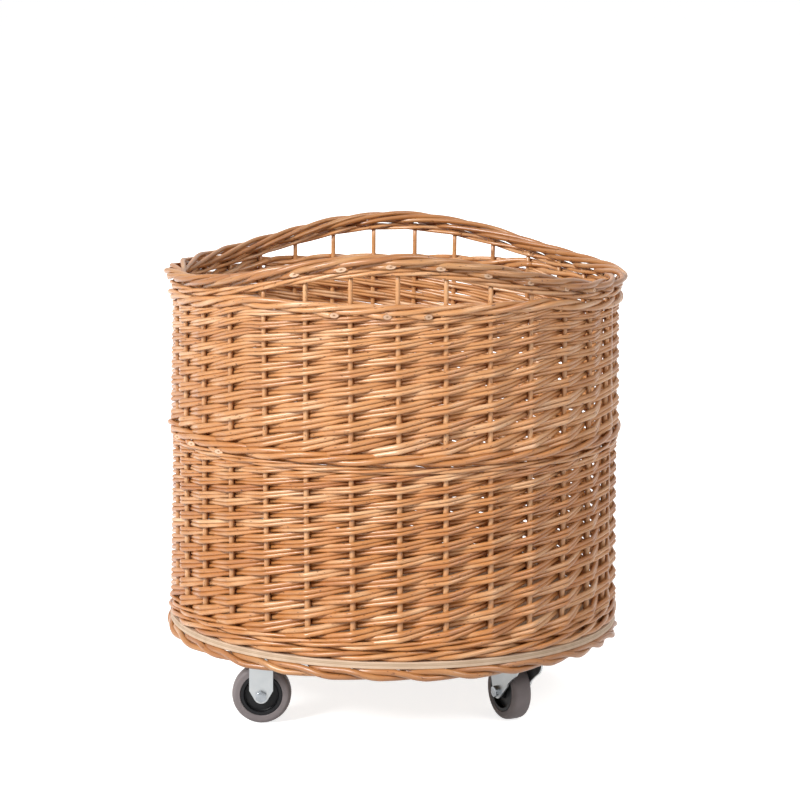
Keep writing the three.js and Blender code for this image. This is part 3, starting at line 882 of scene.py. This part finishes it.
# %% [markdown]
# ## From shape to piece
# A shape becomes a piece once it has a mesh, a finish and a body to ride on. Sharp edges could be left as
# they are, but no pressed or moulded edge is a knife edge, and a bevel modifier gives it a rim of light. The
# angle between faces decides which edges stay sharp in the shading and which are rounded.

# %% Make a piece
MERGE_DISTANCE = 0.01
SHARP_ANGLE, BEVEL_ANGLE = math.radians(35), math.radians(40)
BEVEL_SEGMENTS = 3


def make_piece(name, shape, place, finish, body, rounding=0.0):
    building = bmesh.new()
    corners = [building.verts.new(point) for point in shape[0]]
    for face in shape[1]:
        building.faces.new([corners[corner] for corner in face])
    bmesh.ops.remove_doubles(building, verts=building.verts, dist=MERGE_DISTANCE)
    bmesh.ops.recalc_face_normals(building, faces=building.faces)
    mesh = bpy.data.meshes.new(name)
    building.to_mesh(mesh)
    building.free()
    mesh.transform(place)
    mesh.shade_smooth()
    mesh.set_sharp_from_angle(angle=SHARP_ANGLE)
    mesh.materials.append(finish)
    piece = bpy.data.objects.new(name, mesh)
    bpy.context.scene.collection.objects.link(piece)
    if rounding:
        bevel = piece.modifiers.new("rounded edges", "BEVEL")
        bevel.width = rounding * MM
        bevel.segments = BEVEL_SEGMENTS
        bevel.limit_method = "ANGLE"
        bevel.angle_limit = BEVEL_ANGLE
        bevel.harden_normals = True
    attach(piece, body)
    print(name, "on", body + ",", len(mesh.polygons), "faces")
    return piece


print("edges over", round(math.degrees(BEVEL_ANGLE)), "degrees can be rounded")

# %% [markdown]
# ## Plywood
# The board is three-ply poplar, cream on its faces. On the sawn edge the middle layer shows end grain and
# is a little darker, with a thin glue line above and below it. Three discs could be stacked, but height
# above the floor tells the layers apart just as well, and long noise along X makes the figure of the veneer.

# %% Plywood finish
PLY_ROUGHNESS = 0.62
PLY_FACE, PLY_CORE = (0.53, 0.39, 0.275), (0.49, 0.355, 0.245)
LOWER_GLUE, UPPER_GLUE = (0.36, 0.245, 0.155), (0.38, 0.265, 0.17)
PLY_STOPS = [
    (0.44, PLY_FACE), (0.49, LOWER_GLUE), (0.55, LOWER_GLUE), (0.60, PLY_CORE),
    (0.65, PLY_CORE), (0.70, UPPER_GLUE), (0.76, UPPER_GLUE), (0.81, PLY_FACE)]
FIGURE_SCALE, FIGURE_SHARE = (9, 95, 30), 0.8
FIGURE_STOPS = [(0.32, (0.84, 0.80, 0.75)), (0.62, (1.0, 1.0, 1.0))]
FIGURE_BUMP, FIGURE_DEPTH = 0.25, 0.5 * MM
plywood, plywood_shader = new_finish("plywood", PLY_ROUGHNESS)
ply_place = add_node(plywood, "ShaderNodeTexCoord").outputs["Object"]
ply_height = add_node(plywood, "ShaderNodeSeparateXYZ", {"Vector": ply_place}).outputs["Z"]
ply_share = add_node(plywood, "ShaderNodeMapRange", {
    "Value": ply_height, "From Min": board_low.z, "From Max": board_high.z}).outputs["Result"]
ply_layers = add_ramp(plywood, ply_share, PLY_STOPS)
ply_figure = stretched_noise(plywood, ply_place, FIGURE_SCALE, detail=5)
ply_streaks = add_ramp(plywood, ply_figure, FIGURE_STOPS)
ply_colour = multiply_colour(plywood, FIGURE_SHARE, ply_layers, ply_streaks)
wire(plywood, ply_colour, plywood_shader.inputs["Base Color"])
add_relief(plywood, plywood_shader, ply_figure, FIGURE_BUMP, FIGURE_DEPTH)
print("finish:", plywood.name)

# %% [markdown]
# ## The board
# The board is a sawn disc with its sharp edges sanded off. Turning the half section round Z gives the
# rounded edge at once, where a cylinder would need a bevel afterwards.

# %% Turn the board
EDGE_SANDING = 0.8
BOARD_SETBACK = 2.0
BOARD_SIDES = 180
board_reach = board_high.x / MM - BOARD_SETBACK
board_bottom, board_top = board_low.z / MM, board_high.z / MM
board_section = [
    (0, board_bottom), (board_reach - EDGE_SANDING, board_bottom),
    (board_reach, board_bottom + EDGE_SANDING), (board_reach, board_top - EDGE_SANDING),
    (board_reach - EDGE_SANDING, board_top), (0, board_top)]
board = make_piece("base_board_ply", turned(board_section, "Z", BOARD_SIDES), Matrix.Scale(MM, 4), plywood,
                   "basket")
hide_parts("base_board")

# %% [markdown]
# ## Castor finishes
# Pressed steel with bright zinc is a grey metal with faint cloudy patches. The bolts are shinier, and
# their zinc is darker, which is painted shade: the dark underside of the basket that their heads reflect.
# The tyre is soft mauve-grey rubber that takes dust and small scuffs, and the wheel centre is black
# moulded plastic. A plain colour would make each look like new paint. So each finish is one shader with a
# little noise in its colour, its roughness and its relief.

# %% Castor finishes
CLOUD_DARK, CLOUD_LIGHT = 0.3, 0.7
GLOSS_SPREAD = 0.08
FINE_SCALE, FINE_BUMP = 9, 0.2


def cloudy_finish(name, dark, light, roughness, metallic, scale, dent, shine=0.5):
    finish, shader = new_finish(name, roughness, metallic)
    shader.inputs["Specular IOR Level"].default_value = shine
    spot = add_node(finish, "ShaderNodeTexCoord").outputs["Object"]
    cloud = stretched_noise(finish, spot, (scale, scale, scale), detail=4)
    colour = add_ramp(finish, cloud, [(CLOUD_DARK, dark), (CLOUD_LIGHT, light)])
    wire(finish, colour, shader.inputs["Base Color"])
    gloss = add_node(finish, "ShaderNodeMapRange", {
        "Value": cloud, "To Min": roughness - GLOSS_SPREAD, "To Max": roughness + GLOSS_SPREAD})
    wire(finish, gloss.outputs["Result"], shader.inputs["Roughness"])
    fine = stretched_noise(finish, spot, (FINE_SCALE * scale,) * 3, detail=2)
    add_relief(finish, shader, fine, FINE_BUMP, dent * MM)
    return finish


zinc = cloudy_finish("zinc_plate", (0.39, 0.41, 0.42), (0.44, 0.455, 0.46),
                     roughness=0.36, metallic=1.0, scale=60, dent=0.05)
# The bolts' darker zinc is painted shade, a stand-in for the dark underside that they reflect.
bolt_zinc_painted_shade = cloudy_finish("bolt_zinc_painted_shade", (0.27, 0.29, 0.31), (0.36, 0.38, 0.40),
                          roughness=0.26, metallic=1.0, scale=90, dent=0.05)
rubber = cloudy_finish("grey_rubber", (0.155, 0.132, 0.132), (0.188, 0.163, 0.163),
                       roughness=0.6, metallic=0.0, scale=45, dent=0.15, shine=0.3)
black_plastic = cloudy_finish("black_plastic", (0.006, 0.006, 0.007), (0.011, 0.011, 0.012),
                              roughness=0.4, metallic=0.0, scale=50, dent=0.08, shine=0.2)
print("castor finishes:", zinc.name, bolt_zinc_painted_shade.name, rubber.name, black_plastic.name)

# %% [markdown]
# ## Section of the tyre
# The tyre is moulded with a slightly crowned tread and round shoulders. A torus would be close, but it has
# no flat sides. So half of the section is drawn, mirrored and closed. Its radius and width are the solid's.

# %% Draw the tyre
def arc(centre, radius, start, end, steps):
    angles = np.radians(np.linspace(start, end, steps))
    return [(centre[0] + radius * math.cos(a), centre[1] + radius * math.sin(a)) for a in angles]


def closed_section(half):
    loop = [(radius, -along) for radius, along in half] + list(reversed(half))
    return loop + loop[:1]


def half_span(node, axis):
    low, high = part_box(node)
    return (high[axis] - low[axis]) / 2 / MM


TREAD_RADIUS = castors["front_left"]["wheel_centre"].z
TYRE_HALF = half_span("front_left_tyre", 1)
HUB_PLAY = 0.4
HUB_RADIUS = half_span("front_left_hub", 0) - HUB_PLAY
BEAD_FOOT, BEAD_TOP, BEAD_DEPTH = 0.2, 0.9, 0.8
SHOULDER, SHOULDER_STEPS = 5.2, 8
TREAD_CROWN, TREAD_SLOPE, FLOOR_PLAY = 0.5, 8, 0.1
tyre_half = [(HUB_RADIUS + BEAD_FOOT, TYRE_HALF - BEAD_DEPTH), (HUB_RADIUS + BEAD_TOP, TYRE_HALF)]
tyre_half += arc((TREAD_RADIUS - TREAD_CROWN - SHOULDER, TYRE_HALF - SHOULDER), SHOULDER,
                 90, TREAD_SLOPE, SHOULDER_STEPS)
tyre_half += [(TREAD_RADIUS - FLOOR_PLAY, TYRE_HALF / 3)]
print("wheel", round(2 * TREAD_RADIUS, 1), "mm across and", round(2 * TYRE_HALF, 1), "mm wide")

# %% [markdown]
# ## Section of the wheel centre
# The centre is a moulded disc with a raised rim, a dished web and a boss round the bore. Three cylinders
# would leave sharp steps between them, and one section has the slopes that a mould needs.

# %% Draw the wheel centre
BOSS_HALF = half_span("front_left_hub", 1)
BORE, BOSS, WEB_HALF, RIM_INSIDE, ROUNDED = 4.2, 9.0, 6.4, 22.6, 0.6
hub_half = [
    (BORE, BOSS_HALF), (BOSS - ROUNDED, BOSS_HALF), (BOSS, BOSS_HALF - ROUNDED),
    (BOSS + 0.8, WEB_HALF + 1.6), (BOSS + 2.0, WEB_HALF + 0.6),
    (RIM_INSIDE - 2.2, WEB_HALF), (RIM_INSIDE - 1.0, WEB_HALF + 0.8),
    (RIM_INSIDE - 0.7, TYRE_HALF - 0.7), (RIM_INSIDE, TYRE_HALF),
    (HUB_RADIUS - ROUNDED, TYRE_HALF), (HUB_RADIUS, TYRE_HALF - ROUNDED)]
print("wheel centre", round(2 * HUB_RADIUS, 1), "mm across, boss", round(2 * BOSS_HALF, 1), "mm wide")

# %% [markdown]
# ## Wheels
# Tyre and centre of a wheel are two pieces, because one is rubber and the other plastic. One wheel could be
# made and copied, but each piece has to say which solid it replaces, so all are turned in one loop.

# %% Turn the wheels
WHEEL_SIDES = 72
tyre_shape = turned(closed_section(tyre_half), "Y", WHEEL_SIDES)
hub_shape = turned(closed_section(hub_half), "Y", WHEEL_SIDES)
for castor, facts in castors.items():
    tyre = make_piece(castor + "_tyre_rubber", tyre_shape, facts["wheel_place"], rubber,
                      castor + "_wheel")
    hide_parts(castor + "_tyre")
    hub = make_piece(castor + "_hub_moulding", hub_shape, facts["wheel_place"], black_plastic,
                     castor + "_wheel")
    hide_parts(castor + "_hub")

# %% [markdown]
# ## The edge of a fork leg
# Each leg of a fork keeps its width down to the axle, and then tapers to a round tip. The edge could be
# drawn point by point. Here the straight part touches the round one without a corner, and the angle at which
# it does so is worked out.

# %% Draw a leg's edge
SHEET = 2.5
LEG_CLEARANCE = 0.8
LEG_MIDDLE = BOSS_HALF + LEG_CLEARANCE + SHEET / 2
LEG_OUTSIDE = LEG_MIDDLE + SHEET / 2
AXLE_HEIGHT = TREAD_RADIUS
TIP_RADIUS = AXLE_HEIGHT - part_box("front_left_fork")[0].z / MM
TIP_STEPS = 9


def leg_edge(axle_x, corners, side):
    out, up = corners[0][0] - axle_x, corners[0][1] - AXLE_HEIGHT
    touch = math.atan2(up, out * side) - math.acos(TIP_RADIUS / math.hypot(out, up))
    tip = arc((0, AXLE_HEIGHT), TIP_RADIUS, -90, math.degrees(touch), TIP_STEPS)
    return np.array([(axle_x + side * x, z) for x, z in tip] + corners)


print("fork legs at", round(LEG_MIDDLE, 2), "mm from the middle, tip radius", round(TIP_RADIUS, 2), "mm")

# %% [markdown]
# ## Bending a fork
# A fork is one strip of 2.5 mm steel bent into a U over the wheel. Two plates and a bridge would have sharp
# corners on top. So the strip is made as it is in the press: along its length the middle line bends, and
# across it the two edges are looked up by height.

# %% Bend a strip into a fork
BEND, BEND_STEPS = 5.0, 8
LEG_SAMPLES = 14


def bent_strip(back, front, crown_middle):
    even = np.linspace(AXLE_HEIGHT, crown_middle, LEG_SAMPLES)
    heights = np.unique(np.concatenate([back[:, 1], front[:, 1], even]))
    half = [(LEG_MIDDLE, z, 1.0, 0.0) for z in heights[heights <= crown_middle - BEND]]
    for turn in np.linspace(0, math.pi / 2, BEND_STEPS):
        out, up = math.cos(turn), math.sin(turn)
        half.append((LEG_MIDDLE - BEND + BEND * out, crown_middle - BEND + BEND * up, out, up))
    stations = half + [(-y, z, -out, up) for y, z, out, up in reversed(half)]
    points = []
    for y, z, out, up in stations:
        edges = [np.interp(z, edge[:, 1], edge[:, 0]) for edge in (back, front)]
        for x, skin in ((edges[0], -1), (edges[1], -1), (edges[1], 1), (edges[0], 1)):
            points.append(Vector((x, y + skin * out * SHEET / 2, z + skin * up * SHEET / 2)))
    faces = [(0, 1, 2, 3), tuple(len(points) - 1 - corner for corner in range(4))]
    for start in range(0, len(points) - 4, 4):
        faces += ring_faces(start, start + 4, 4)
    return points, faces


print("strips are bent to a radius of", BEND, "mm")

# %% [markdown]
# ## Rigid castors
# The U of a rigid castor is welded under its plate, a square of sheet with round corners. The two could be
# joined with a boolean, but they only touch, so one mesh holds both.

# %% Make the rigid forks
PLATE_HALF = 27.5
PLATE_CORNER, CORNER_STEPS = 8.0, 7
PLATE_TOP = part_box("front_left_fork")[1].z / MM
PLATE_BOTTOM = PLATE_TOP - SHEET
LEG_HALF = 15.0
LEG_SHOULDER = AXLE_HEIGHT + 7
FORK_ROUNDING = 0.6


def plate_outline():
    inner = PLATE_HALF - PLATE_CORNER
    corners = [(inner, inner, 0), (-inner, inner, 90), (-inner, -inner, 180), (inner, -inner, 270)]
    return [spot for x, y, start in corners
            for spot in arc((x, y), PLATE_CORNER, start, start + 90, CORNER_STEPS)]


def rigid_edge(side):
    return leg_edge(0, [(side * LEG_HALF, LEG_SHOULDER), (side * LEG_HALF, PLATE_TOP)], side)


plate = slab(plate_outline(), PLATE_BOTTOM, PLATE_TOP)
rigid_fork = together(plate, bent_strip(rigid_edge(-1), rigid_edge(1), PLATE_BOTTOM - SHEET / 2))
for castor, facts in castors.items():
    if not facts["swivels"]:
        fork = make_piece(castor + "_fork_steel", rigid_fork, facts["fork_place"], zinc,
                          facts["carrier"], FORK_ROUNDING)
        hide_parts(castor + "_fork")

# %% [markdown]
# ## The fork of a swivel castor
# Its legs lean back, so that the wheel trails, and the front edge of each leg flares up to the crown, which
# carries the lower cup of a ball race. A straight leg moved back would miss the crown, so both edges are
# drawn, measured from the axle.

# %% Shape the swivel fork
CROWN_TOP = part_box("front_right_fork")[1].z / MM
CROWN_BOTTOM = CROWN_TOP - SHEET
CROWN_REACH = 22.0
TRAIL = castors["front_right"]["wheel_centre"].x
CUP_INSIDE, CUP_OUTSIDE = 6, 24
FLARE = [(LEG_HALF, 1), (24, 10), (27, 16), (37, 24), (46, 30), (50.5, 36)]
BACK_SHOULDER, FRONT_SHOULDER = AXLE_HEIGHT + 15, AXLE_HEIGHT + 43
swivel_back = [(TRAIL - LEG_HALF, BACK_SHOULDER), (-CROWN_REACH, CROWN_TOP)]
swivel_front = [(TRAIL + ahead, AXLE_HEIGHT + up) for ahead, up in FLARE]
swivel_front += [(CROWN_REACH, FRONT_SHOULDER), (CROWN_REACH, CROWN_TOP)]
swivel_strip = bent_strip(
    leg_edge(TRAIL, swivel_back, -1), leg_edge(TRAIL, swivel_front, 1), CROWN_TOP - SHEET / 2)
lower_cup = turned([
    (CUP_INSIDE, CROWN_BOTTOM), (CUP_OUTSIDE - 1.5, CROWN_BOTTOM), (CUP_OUTSIDE, CROWN_BOTTOM + 1),
    (CUP_OUTSIDE, CROWN_TOP - 0.4), (CUP_OUTSIDE - 0.6, CROWN_TOP), (CUP_INSIDE, CROWN_TOP),
    (CUP_INSIDE, CROWN_BOTTOM)], "Z")
swivel_fork = together(swivel_strip, lower_cup)
print("the wheel trails", round(-TRAIL, 1), "mm behind the kingpin")

# %% [markdown]
# ## Race and kingpin
# The plate carries the upper race, a pressed ring, and a rivet, the kingpin, holds crown and plate together.
# Stacked cylinders would be close, but a turned section is as short and has the rounded edges too.

# %% Shape the race and the kingpin
RACE_INSIDE, RACE_OUTSIDE, RACE_FLANGE = 19, 22, 25
RACE_FOOT = 91.2
PIN_RADIUS, PIN_HEAD = 4.8, 9
upper_race = turned([
    (RACE_INSIDE, PLATE_BOTTOM + 1), (RACE_INSIDE, RACE_FOOT + 0.4), (RACE_INSIDE + 0.4, RACE_FOOT),
    (RACE_OUTSIDE - 0.6, RACE_FOOT), (RACE_OUTSIDE, RACE_FOOT + 0.6), (RACE_OUTSIDE, RACE_FOOT + 3.4),
    (RACE_OUTSIDE + 0.8, RACE_FOOT + 5.2), (RACE_FLANGE, PLATE_BOTTOM), (RACE_FLANGE, PLATE_BOTTOM + 1),
    (RACE_INSIDE, PLATE_BOTTOM + 1)], "Z")
rivet = turned([
    (0, CROWN_BOTTOM - 4.3), (4, CROWN_BOTTOM - 4.1), (7.4, CROWN_BOTTOM - 3.0),
    (PIN_HEAD, CROWN_BOTTOM - 1.2), (PIN_HEAD, CROWN_BOTTOM - 0.1), (PIN_RADIUS, CROWN_BOTTOM - 0.1),
    (PIN_RADIUS, PLATE_TOP), (0, PLATE_TOP)], "Z")
print("race from", RACE_FOOT, "to", round(PLATE_BOTTOM, 1), "mm over the floor")

# %% [markdown]
# ## Swivel castors
# The fork turns under the plate, and the plate and the kingpin stay with the basket. A single mesh would
# look the same at rest, but it would tear the plate from the board when the castor turns, so the three are
# separate pieces.

# %% Make the swivel castors
PLATE_ROUNDING = 0.5
raced_plate = together(plate, upper_race)
for castor, facts in castors.items():
    if facts["swivels"]:
        fork = make_piece(castor + "_fork_steel", swivel_fork, facts["fork_place"], zinc,
                          facts["carrier"], FORK_ROUNDING)
        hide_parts(castor + "_fork")
        top_plate = make_piece(castor + "_top_plate_steel", raced_plate, facts["plate_place"], zinc,
                               "basket", PLATE_ROUNDING)
        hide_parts(castor + "_top_plate")
        kingpin = make_piece(castor + "_kingpin_rivet", rivet, facts["plate_place"], zinc, "basket")
        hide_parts(castor + "_kingpin")

# %% [markdown]
# ## Hexagon heads
# The corners of a bolt's hexagon are turned off at the top, which leaves a curved edge on each flat. A
# boolean with a cone would cut it, but leaves untidy faces. The edge is where the hexagon meets the cone, so
# it is worked out here point by point.

# %% Shape a hexagon head
HEX_STEPS = 48
CHAMFER_SHARE = 0.93
CHAMFER_ANGLE = math.radians(30)


def hexagon_head(flats, height):
    flat_reach = flats / 2
    top_reach = CHAMFER_SHARE * flat_reach
    rings = [], [], []
    for step in range(HEX_STEPS):
        turn = 2 * math.pi * step / HEX_STEPS
        reach = flat_reach / math.cos((turn + math.pi / 6) % (math.pi / 3) - math.pi / 6)
        shoulder = height - (reach - top_reach) * math.tan(CHAMFER_ANGLE)
        for ring, (radius, z) in zip(rings, ((reach, 0), (reach, shoulder), (top_reach, height))):
            ring.append(Vector((radius * math.cos(turn), radius * math.sin(turn), z)))
    faces = [tuple(reversed(range(HEX_STEPS))), tuple(range(2 * HEX_STEPS, 3 * HEX_STEPS))]
    for base in (0, HEX_STEPS):
        faces += ring_faces(base, base + HEX_STEPS, HEX_STEPS)
    return rings[0] + rings[1] + rings[2], faces


print("a head has", len(hexagon_head(1, 1)[1]), "faces")

# %% [markdown]
# ## Axle bolts
# An M8 bolt is the axle of each wheel, with its head on one side and a nut on the other. Its thread could be
# wound as a helix, but wheel and nut hide it, so a plain shank with a chamfered end is enough.

# %% Shape the axle bolt
BOLT_FLATS, BOLT_HEAD, NUT_HEIGHT = 13.0, 5.3, 6.5
SHANK_RADIUS, SHANK_CHAMFER, SHANK_OVER = 4, 0.6, 0.3
SMALL_SIDES = 28
QUARTER = math.pi / 2


def on_leg(shape, side):
    turned_out = Matrix.Rotation(-side * QUARTER, 4, "X")
    return moved(shape, Matrix.Translation((0, side * LEG_OUTSIDE, 0)) @ turned_out)


shank_end = LEG_OUTSIDE + NUT_HEIGHT + SHANK_OVER
shank = turned([
    (0, -LEG_OUTSIDE), (SHANK_RADIUS, -LEG_OUTSIDE), (SHANK_RADIUS, shank_end - SHANK_CHAMFER),
    (SHANK_RADIUS - SHANK_CHAMFER, shank_end), (0, shank_end)], "Y", SMALL_SIDES)
bolt_head, nut = hexagon_head(BOLT_FLATS, BOLT_HEAD), hexagon_head(BOLT_FLATS, NUT_HEIGHT)
bolt = together(on_leg(bolt_head, -1), on_leg(nut, 1), shank)
print("bolt", round(shank_end + LEG_OUTSIDE + BOLT_HEAD, 1), "mm long over all")

# %% [markdown]
# ## Plate screws
# Each plate is held to the board by four flanged screws, which the photo hides behind the foot border. They
# could be left out, but a look from below would show bare plates.

# %% Shape the plate screws
SCREW_FLATS, SCREW_HEAD, FLANGE_SEAT = 7.0, 3.0, 1.0
SCREW_REACH = 21.0
FLANGE, FLANGE_TOP, FLANGE_EDGE, FLANGE_HEIGHT = 4.8, 3.6, 0.6, 1.3
flange = turned([
    (0, 0), (FLANGE, 0), (FLANGE, FLANGE_EDGE), (FLANGE_TOP, FLANGE_HEIGHT), (0, FLANGE_HEIGHT)],
    "Z", SMALL_SIDES)
screw_head = moved(hexagon_head(SCREW_FLATS, SCREW_HEAD), Matrix.Translation((0, 0, FLANGE_SEAT)))
screw = moved(together(flange, screw_head), Matrix.Rotation(math.pi, 4, "X"))
screws = together(*[moved(screw, Matrix.Translation((x, y, PLATE_BOTTOM)))
                    for x in (-SCREW_REACH, SCREW_REACH) for y in (-SCREW_REACH, SCREW_REACH)])
print("plate screws", 2 * SCREW_REACH, "mm apart")

# %% [markdown]
# ## Fastening the castors
# The bolts go with whatever carries the wheel, the fork that turns or the basket, and the screws stay with
# the basket. Copies of one bolt would do, but each has to name its own solid, so a loop makes them.

# %% Fasten the castors
for castor, facts in castors.items():
    axle_bolt = make_piece(castor + "_axle_bolt", bolt, facts["wheel_place"], bolt_zinc_painted_shade,
                           facts["carrier"])
    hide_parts(castor + "_axle")
    make_piece(castor + "_plate_screws", screws, facts["plate_place"], zinc, "basket")

# %% [markdown]
# ## Camera
# The photo was taken from the front, from a little above the rim. A camera could be placed by eye. Here the
# lens, place and tilt were found by matching the board, the bands and the stakes of the solid model to it.

# %% Place the camera
PHOTO_WIDTH, FOCAL_PIXELS, SENSOR_WIDTH = 800, 2647.2, 36
CAMERA_PLACE = (0.0070, -3.4248, 0.9433)
CAMERA_TILT, CAMERA_ROLL = 9.254, 0.576
camera_data = bpy.data.cameras.new("photo_camera")
camera_data.sensor_fit = "HORIZONTAL"
camera_data.sensor_width = SENSOR_WIDTH
camera_data.lens = SENSOR_WIDTH * FOCAL_PIXELS / PHOTO_WIDTH
camera = bpy.data.objects.new("photo_camera", camera_data)
camera.matrix_world = (
    Matrix.Translation(CAMERA_PLACE)
    @ Matrix.Rotation(math.radians(90 - CAMERA_TILT), 4, "X")
    @ Matrix.Rotation(math.radians(CAMERA_ROLL), 4, "Z"))
bpy.context.scene.collection.objects.link(camera)
bpy.context.scene.camera = camera
print("lens", round(camera_data.lens, 1), "mm")

# %% [markdown]
# ## The room
# The photo has a white background. A very bright room would give that, but it would also wash out the
# basket. So the room gives only a weak even light, and what the camera, mirrors and glass see of it is plain
# white paper. Light Path tells these rays apart from the light that falls on the basket.

# %% Light the room
ROOM_LIGHT = 0.08
WHITE = (1, 1, 1, 1)
bpy.context.scene.view_settings.view_transform = "Standard"


def either(owner, first, second):
    return add_node(owner, "ShaderNodeMath", {0: first, 1: second}, operation="MAXIMUM").outputs[0]


def seen_directly(owner):
    rays = add_node(owner, "ShaderNodeLightPath").outputs
    camera_or_gloss = either(owner, rays["Is Camera Ray"], rays["Is Glossy Ray"])
    return either(owner, camera_or_gloss, rays["Is Transmission Ray"])


world = bpy.data.worlds.new("studio")
world.use_nodes = True
bpy.context.scene.world = world
room = world.node_tree.nodes["Background"]
room.inputs["Color"].default_value = WHITE
room.inputs["Strength"].default_value = ROOM_LIGHT
paper = add_node(world, "ShaderNodeBackground", {"Color": WHITE, "Strength": 1.0})
chosen = add_node(world, "ShaderNodeMixShader", {
    0: seen_directly(world), 1: room.outputs[0], 2: paper.outputs[0]})
wire(world, chosen.outputs[0], world.node_tree.nodes["World Output"].inputs["Surface"])
print("room light", ROOM_LIGHT)

# %% [markdown]
# ## Lamps
# In the photo one broad light stands at the front left, and the right side is darker but not black. A sun
# lamp would cast hard shadows, so area lamps are used: the key, a weaker one at the right, and one behind
# for the views from the back, which is kept out of reflections so that it leaves no glints on the rim.

# %% Set the lamps
LAMP_AIM, LAMP_DISTANCE = Vector((0, 0, 0.35)), 7.0


def add_lamp(name, bearing, elevation, size, energy, glints=True):
    lamp_data = bpy.data.lights.new(name, "AREA")
    lamp_data.energy = energy
    lamp_data.size = size
    lamp = bpy.data.objects.new(name, lamp_data)
    turn, lift = math.radians(bearing), math.radians(elevation)
    away = Vector((math.cos(turn) * math.cos(lift), math.sin(turn) * math.cos(lift), math.sin(lift)))
    lamp.location = LAMP_AIM + LAMP_DISTANCE * away
    lamp.rotation_euler = away.to_track_quat("Z", "Y").to_euler()
    lamp.visible_glossy = glints
    bpy.context.scene.collection.objects.link(lamp)
    print(name, energy, "W from bearing", bearing)


add_lamp("key", bearing=-133, elevation=29, size=2.2, energy=662)
add_lamp("fill", bearing=-42, elevation=35, size=2.8, energy=212)
add_lamp("back", bearing=100, elevation=32, size=2.8, energy=380, glints=False)

# %% [markdown]
# ## The floor
# The floor is white paper without an edge. Pure white light from the paper itself would hide the shadow of
# the basket, and grey paper would show as grey. So it is a lit surface that is lifted toward white for the
# camera, mirrors and glass. The lift is smaller under the basket, which is painted shade that deepens its
# shadow there, and larger further away, where lamps no longer reach, so that the paper stays white.

# %% Lay the floor
FLOOR_REACH = 400
FLOOR_GREY, FLOOR_ROUGHNESS = (0.66, 0.66, 0.66, 1), 0.9
# The smaller lift near the basket is painted shade round it; the larger lift far out keeps the paper white.
LIFT_NEAR, LIFT_FAR = 0.80, 0.95
SHADOW_NEAR, SHADOW_FAR = 0.4, 1.4
floor_paper, floor_shader = new_finish("floor_paper", FLOOR_ROUGHNESS)
floor_shader.inputs["Base Color"].default_value = FLOOR_GREY
floor_shader.inputs["Specular IOR Level"].default_value = 0.0
floor_shader.inputs["Emission Color"].default_value = WHITE
floor_place = add_node(floor_paper, "ShaderNodeTexCoord").outputs["Object"]
floor_distance = add_node(floor_paper, "ShaderNodeVectorMath", {0: floor_place}, operation="LENGTH")
floor_lift = add_node(floor_paper, "ShaderNodeMapRange", {
    "Value": floor_distance.outputs["Value"], "From Min": SHADOW_NEAR, "From Max": SHADOW_FAR,
    "To Min": LIFT_NEAR, "To Max": LIFT_FAR}, interpolation_type="SMOOTHSTEP").outputs["Result"]
seen_lift = add_node(
    floor_paper, "ShaderNodeMath", {0: seen_directly(floor_paper), 1: floor_lift}, operation="MULTIPLY")
wire(floor_paper, seen_lift.outputs[0], floor_shader.inputs["Emission Strength"])
floor_mesh = bpy.data.meshes.new("floor")
floor_corners = [(-FLOOR_REACH, -FLOOR_REACH, 0), (FLOOR_REACH, -FLOOR_REACH, 0),
                 (FLOOR_REACH, FLOOR_REACH, 0), (-FLOOR_REACH, FLOOR_REACH, 0)]
floor_mesh.from_pydata(floor_corners, [], [(0, 1, 2, 3)])
floor_mesh.materials.append(floor_paper)
floor = bpy.data.objects.new("floor", floor_mesh)
bpy.context.scene.collection.objects.link(floor)
print("floor lift", LIFT_NEAR, "to", LIFT_FAR)
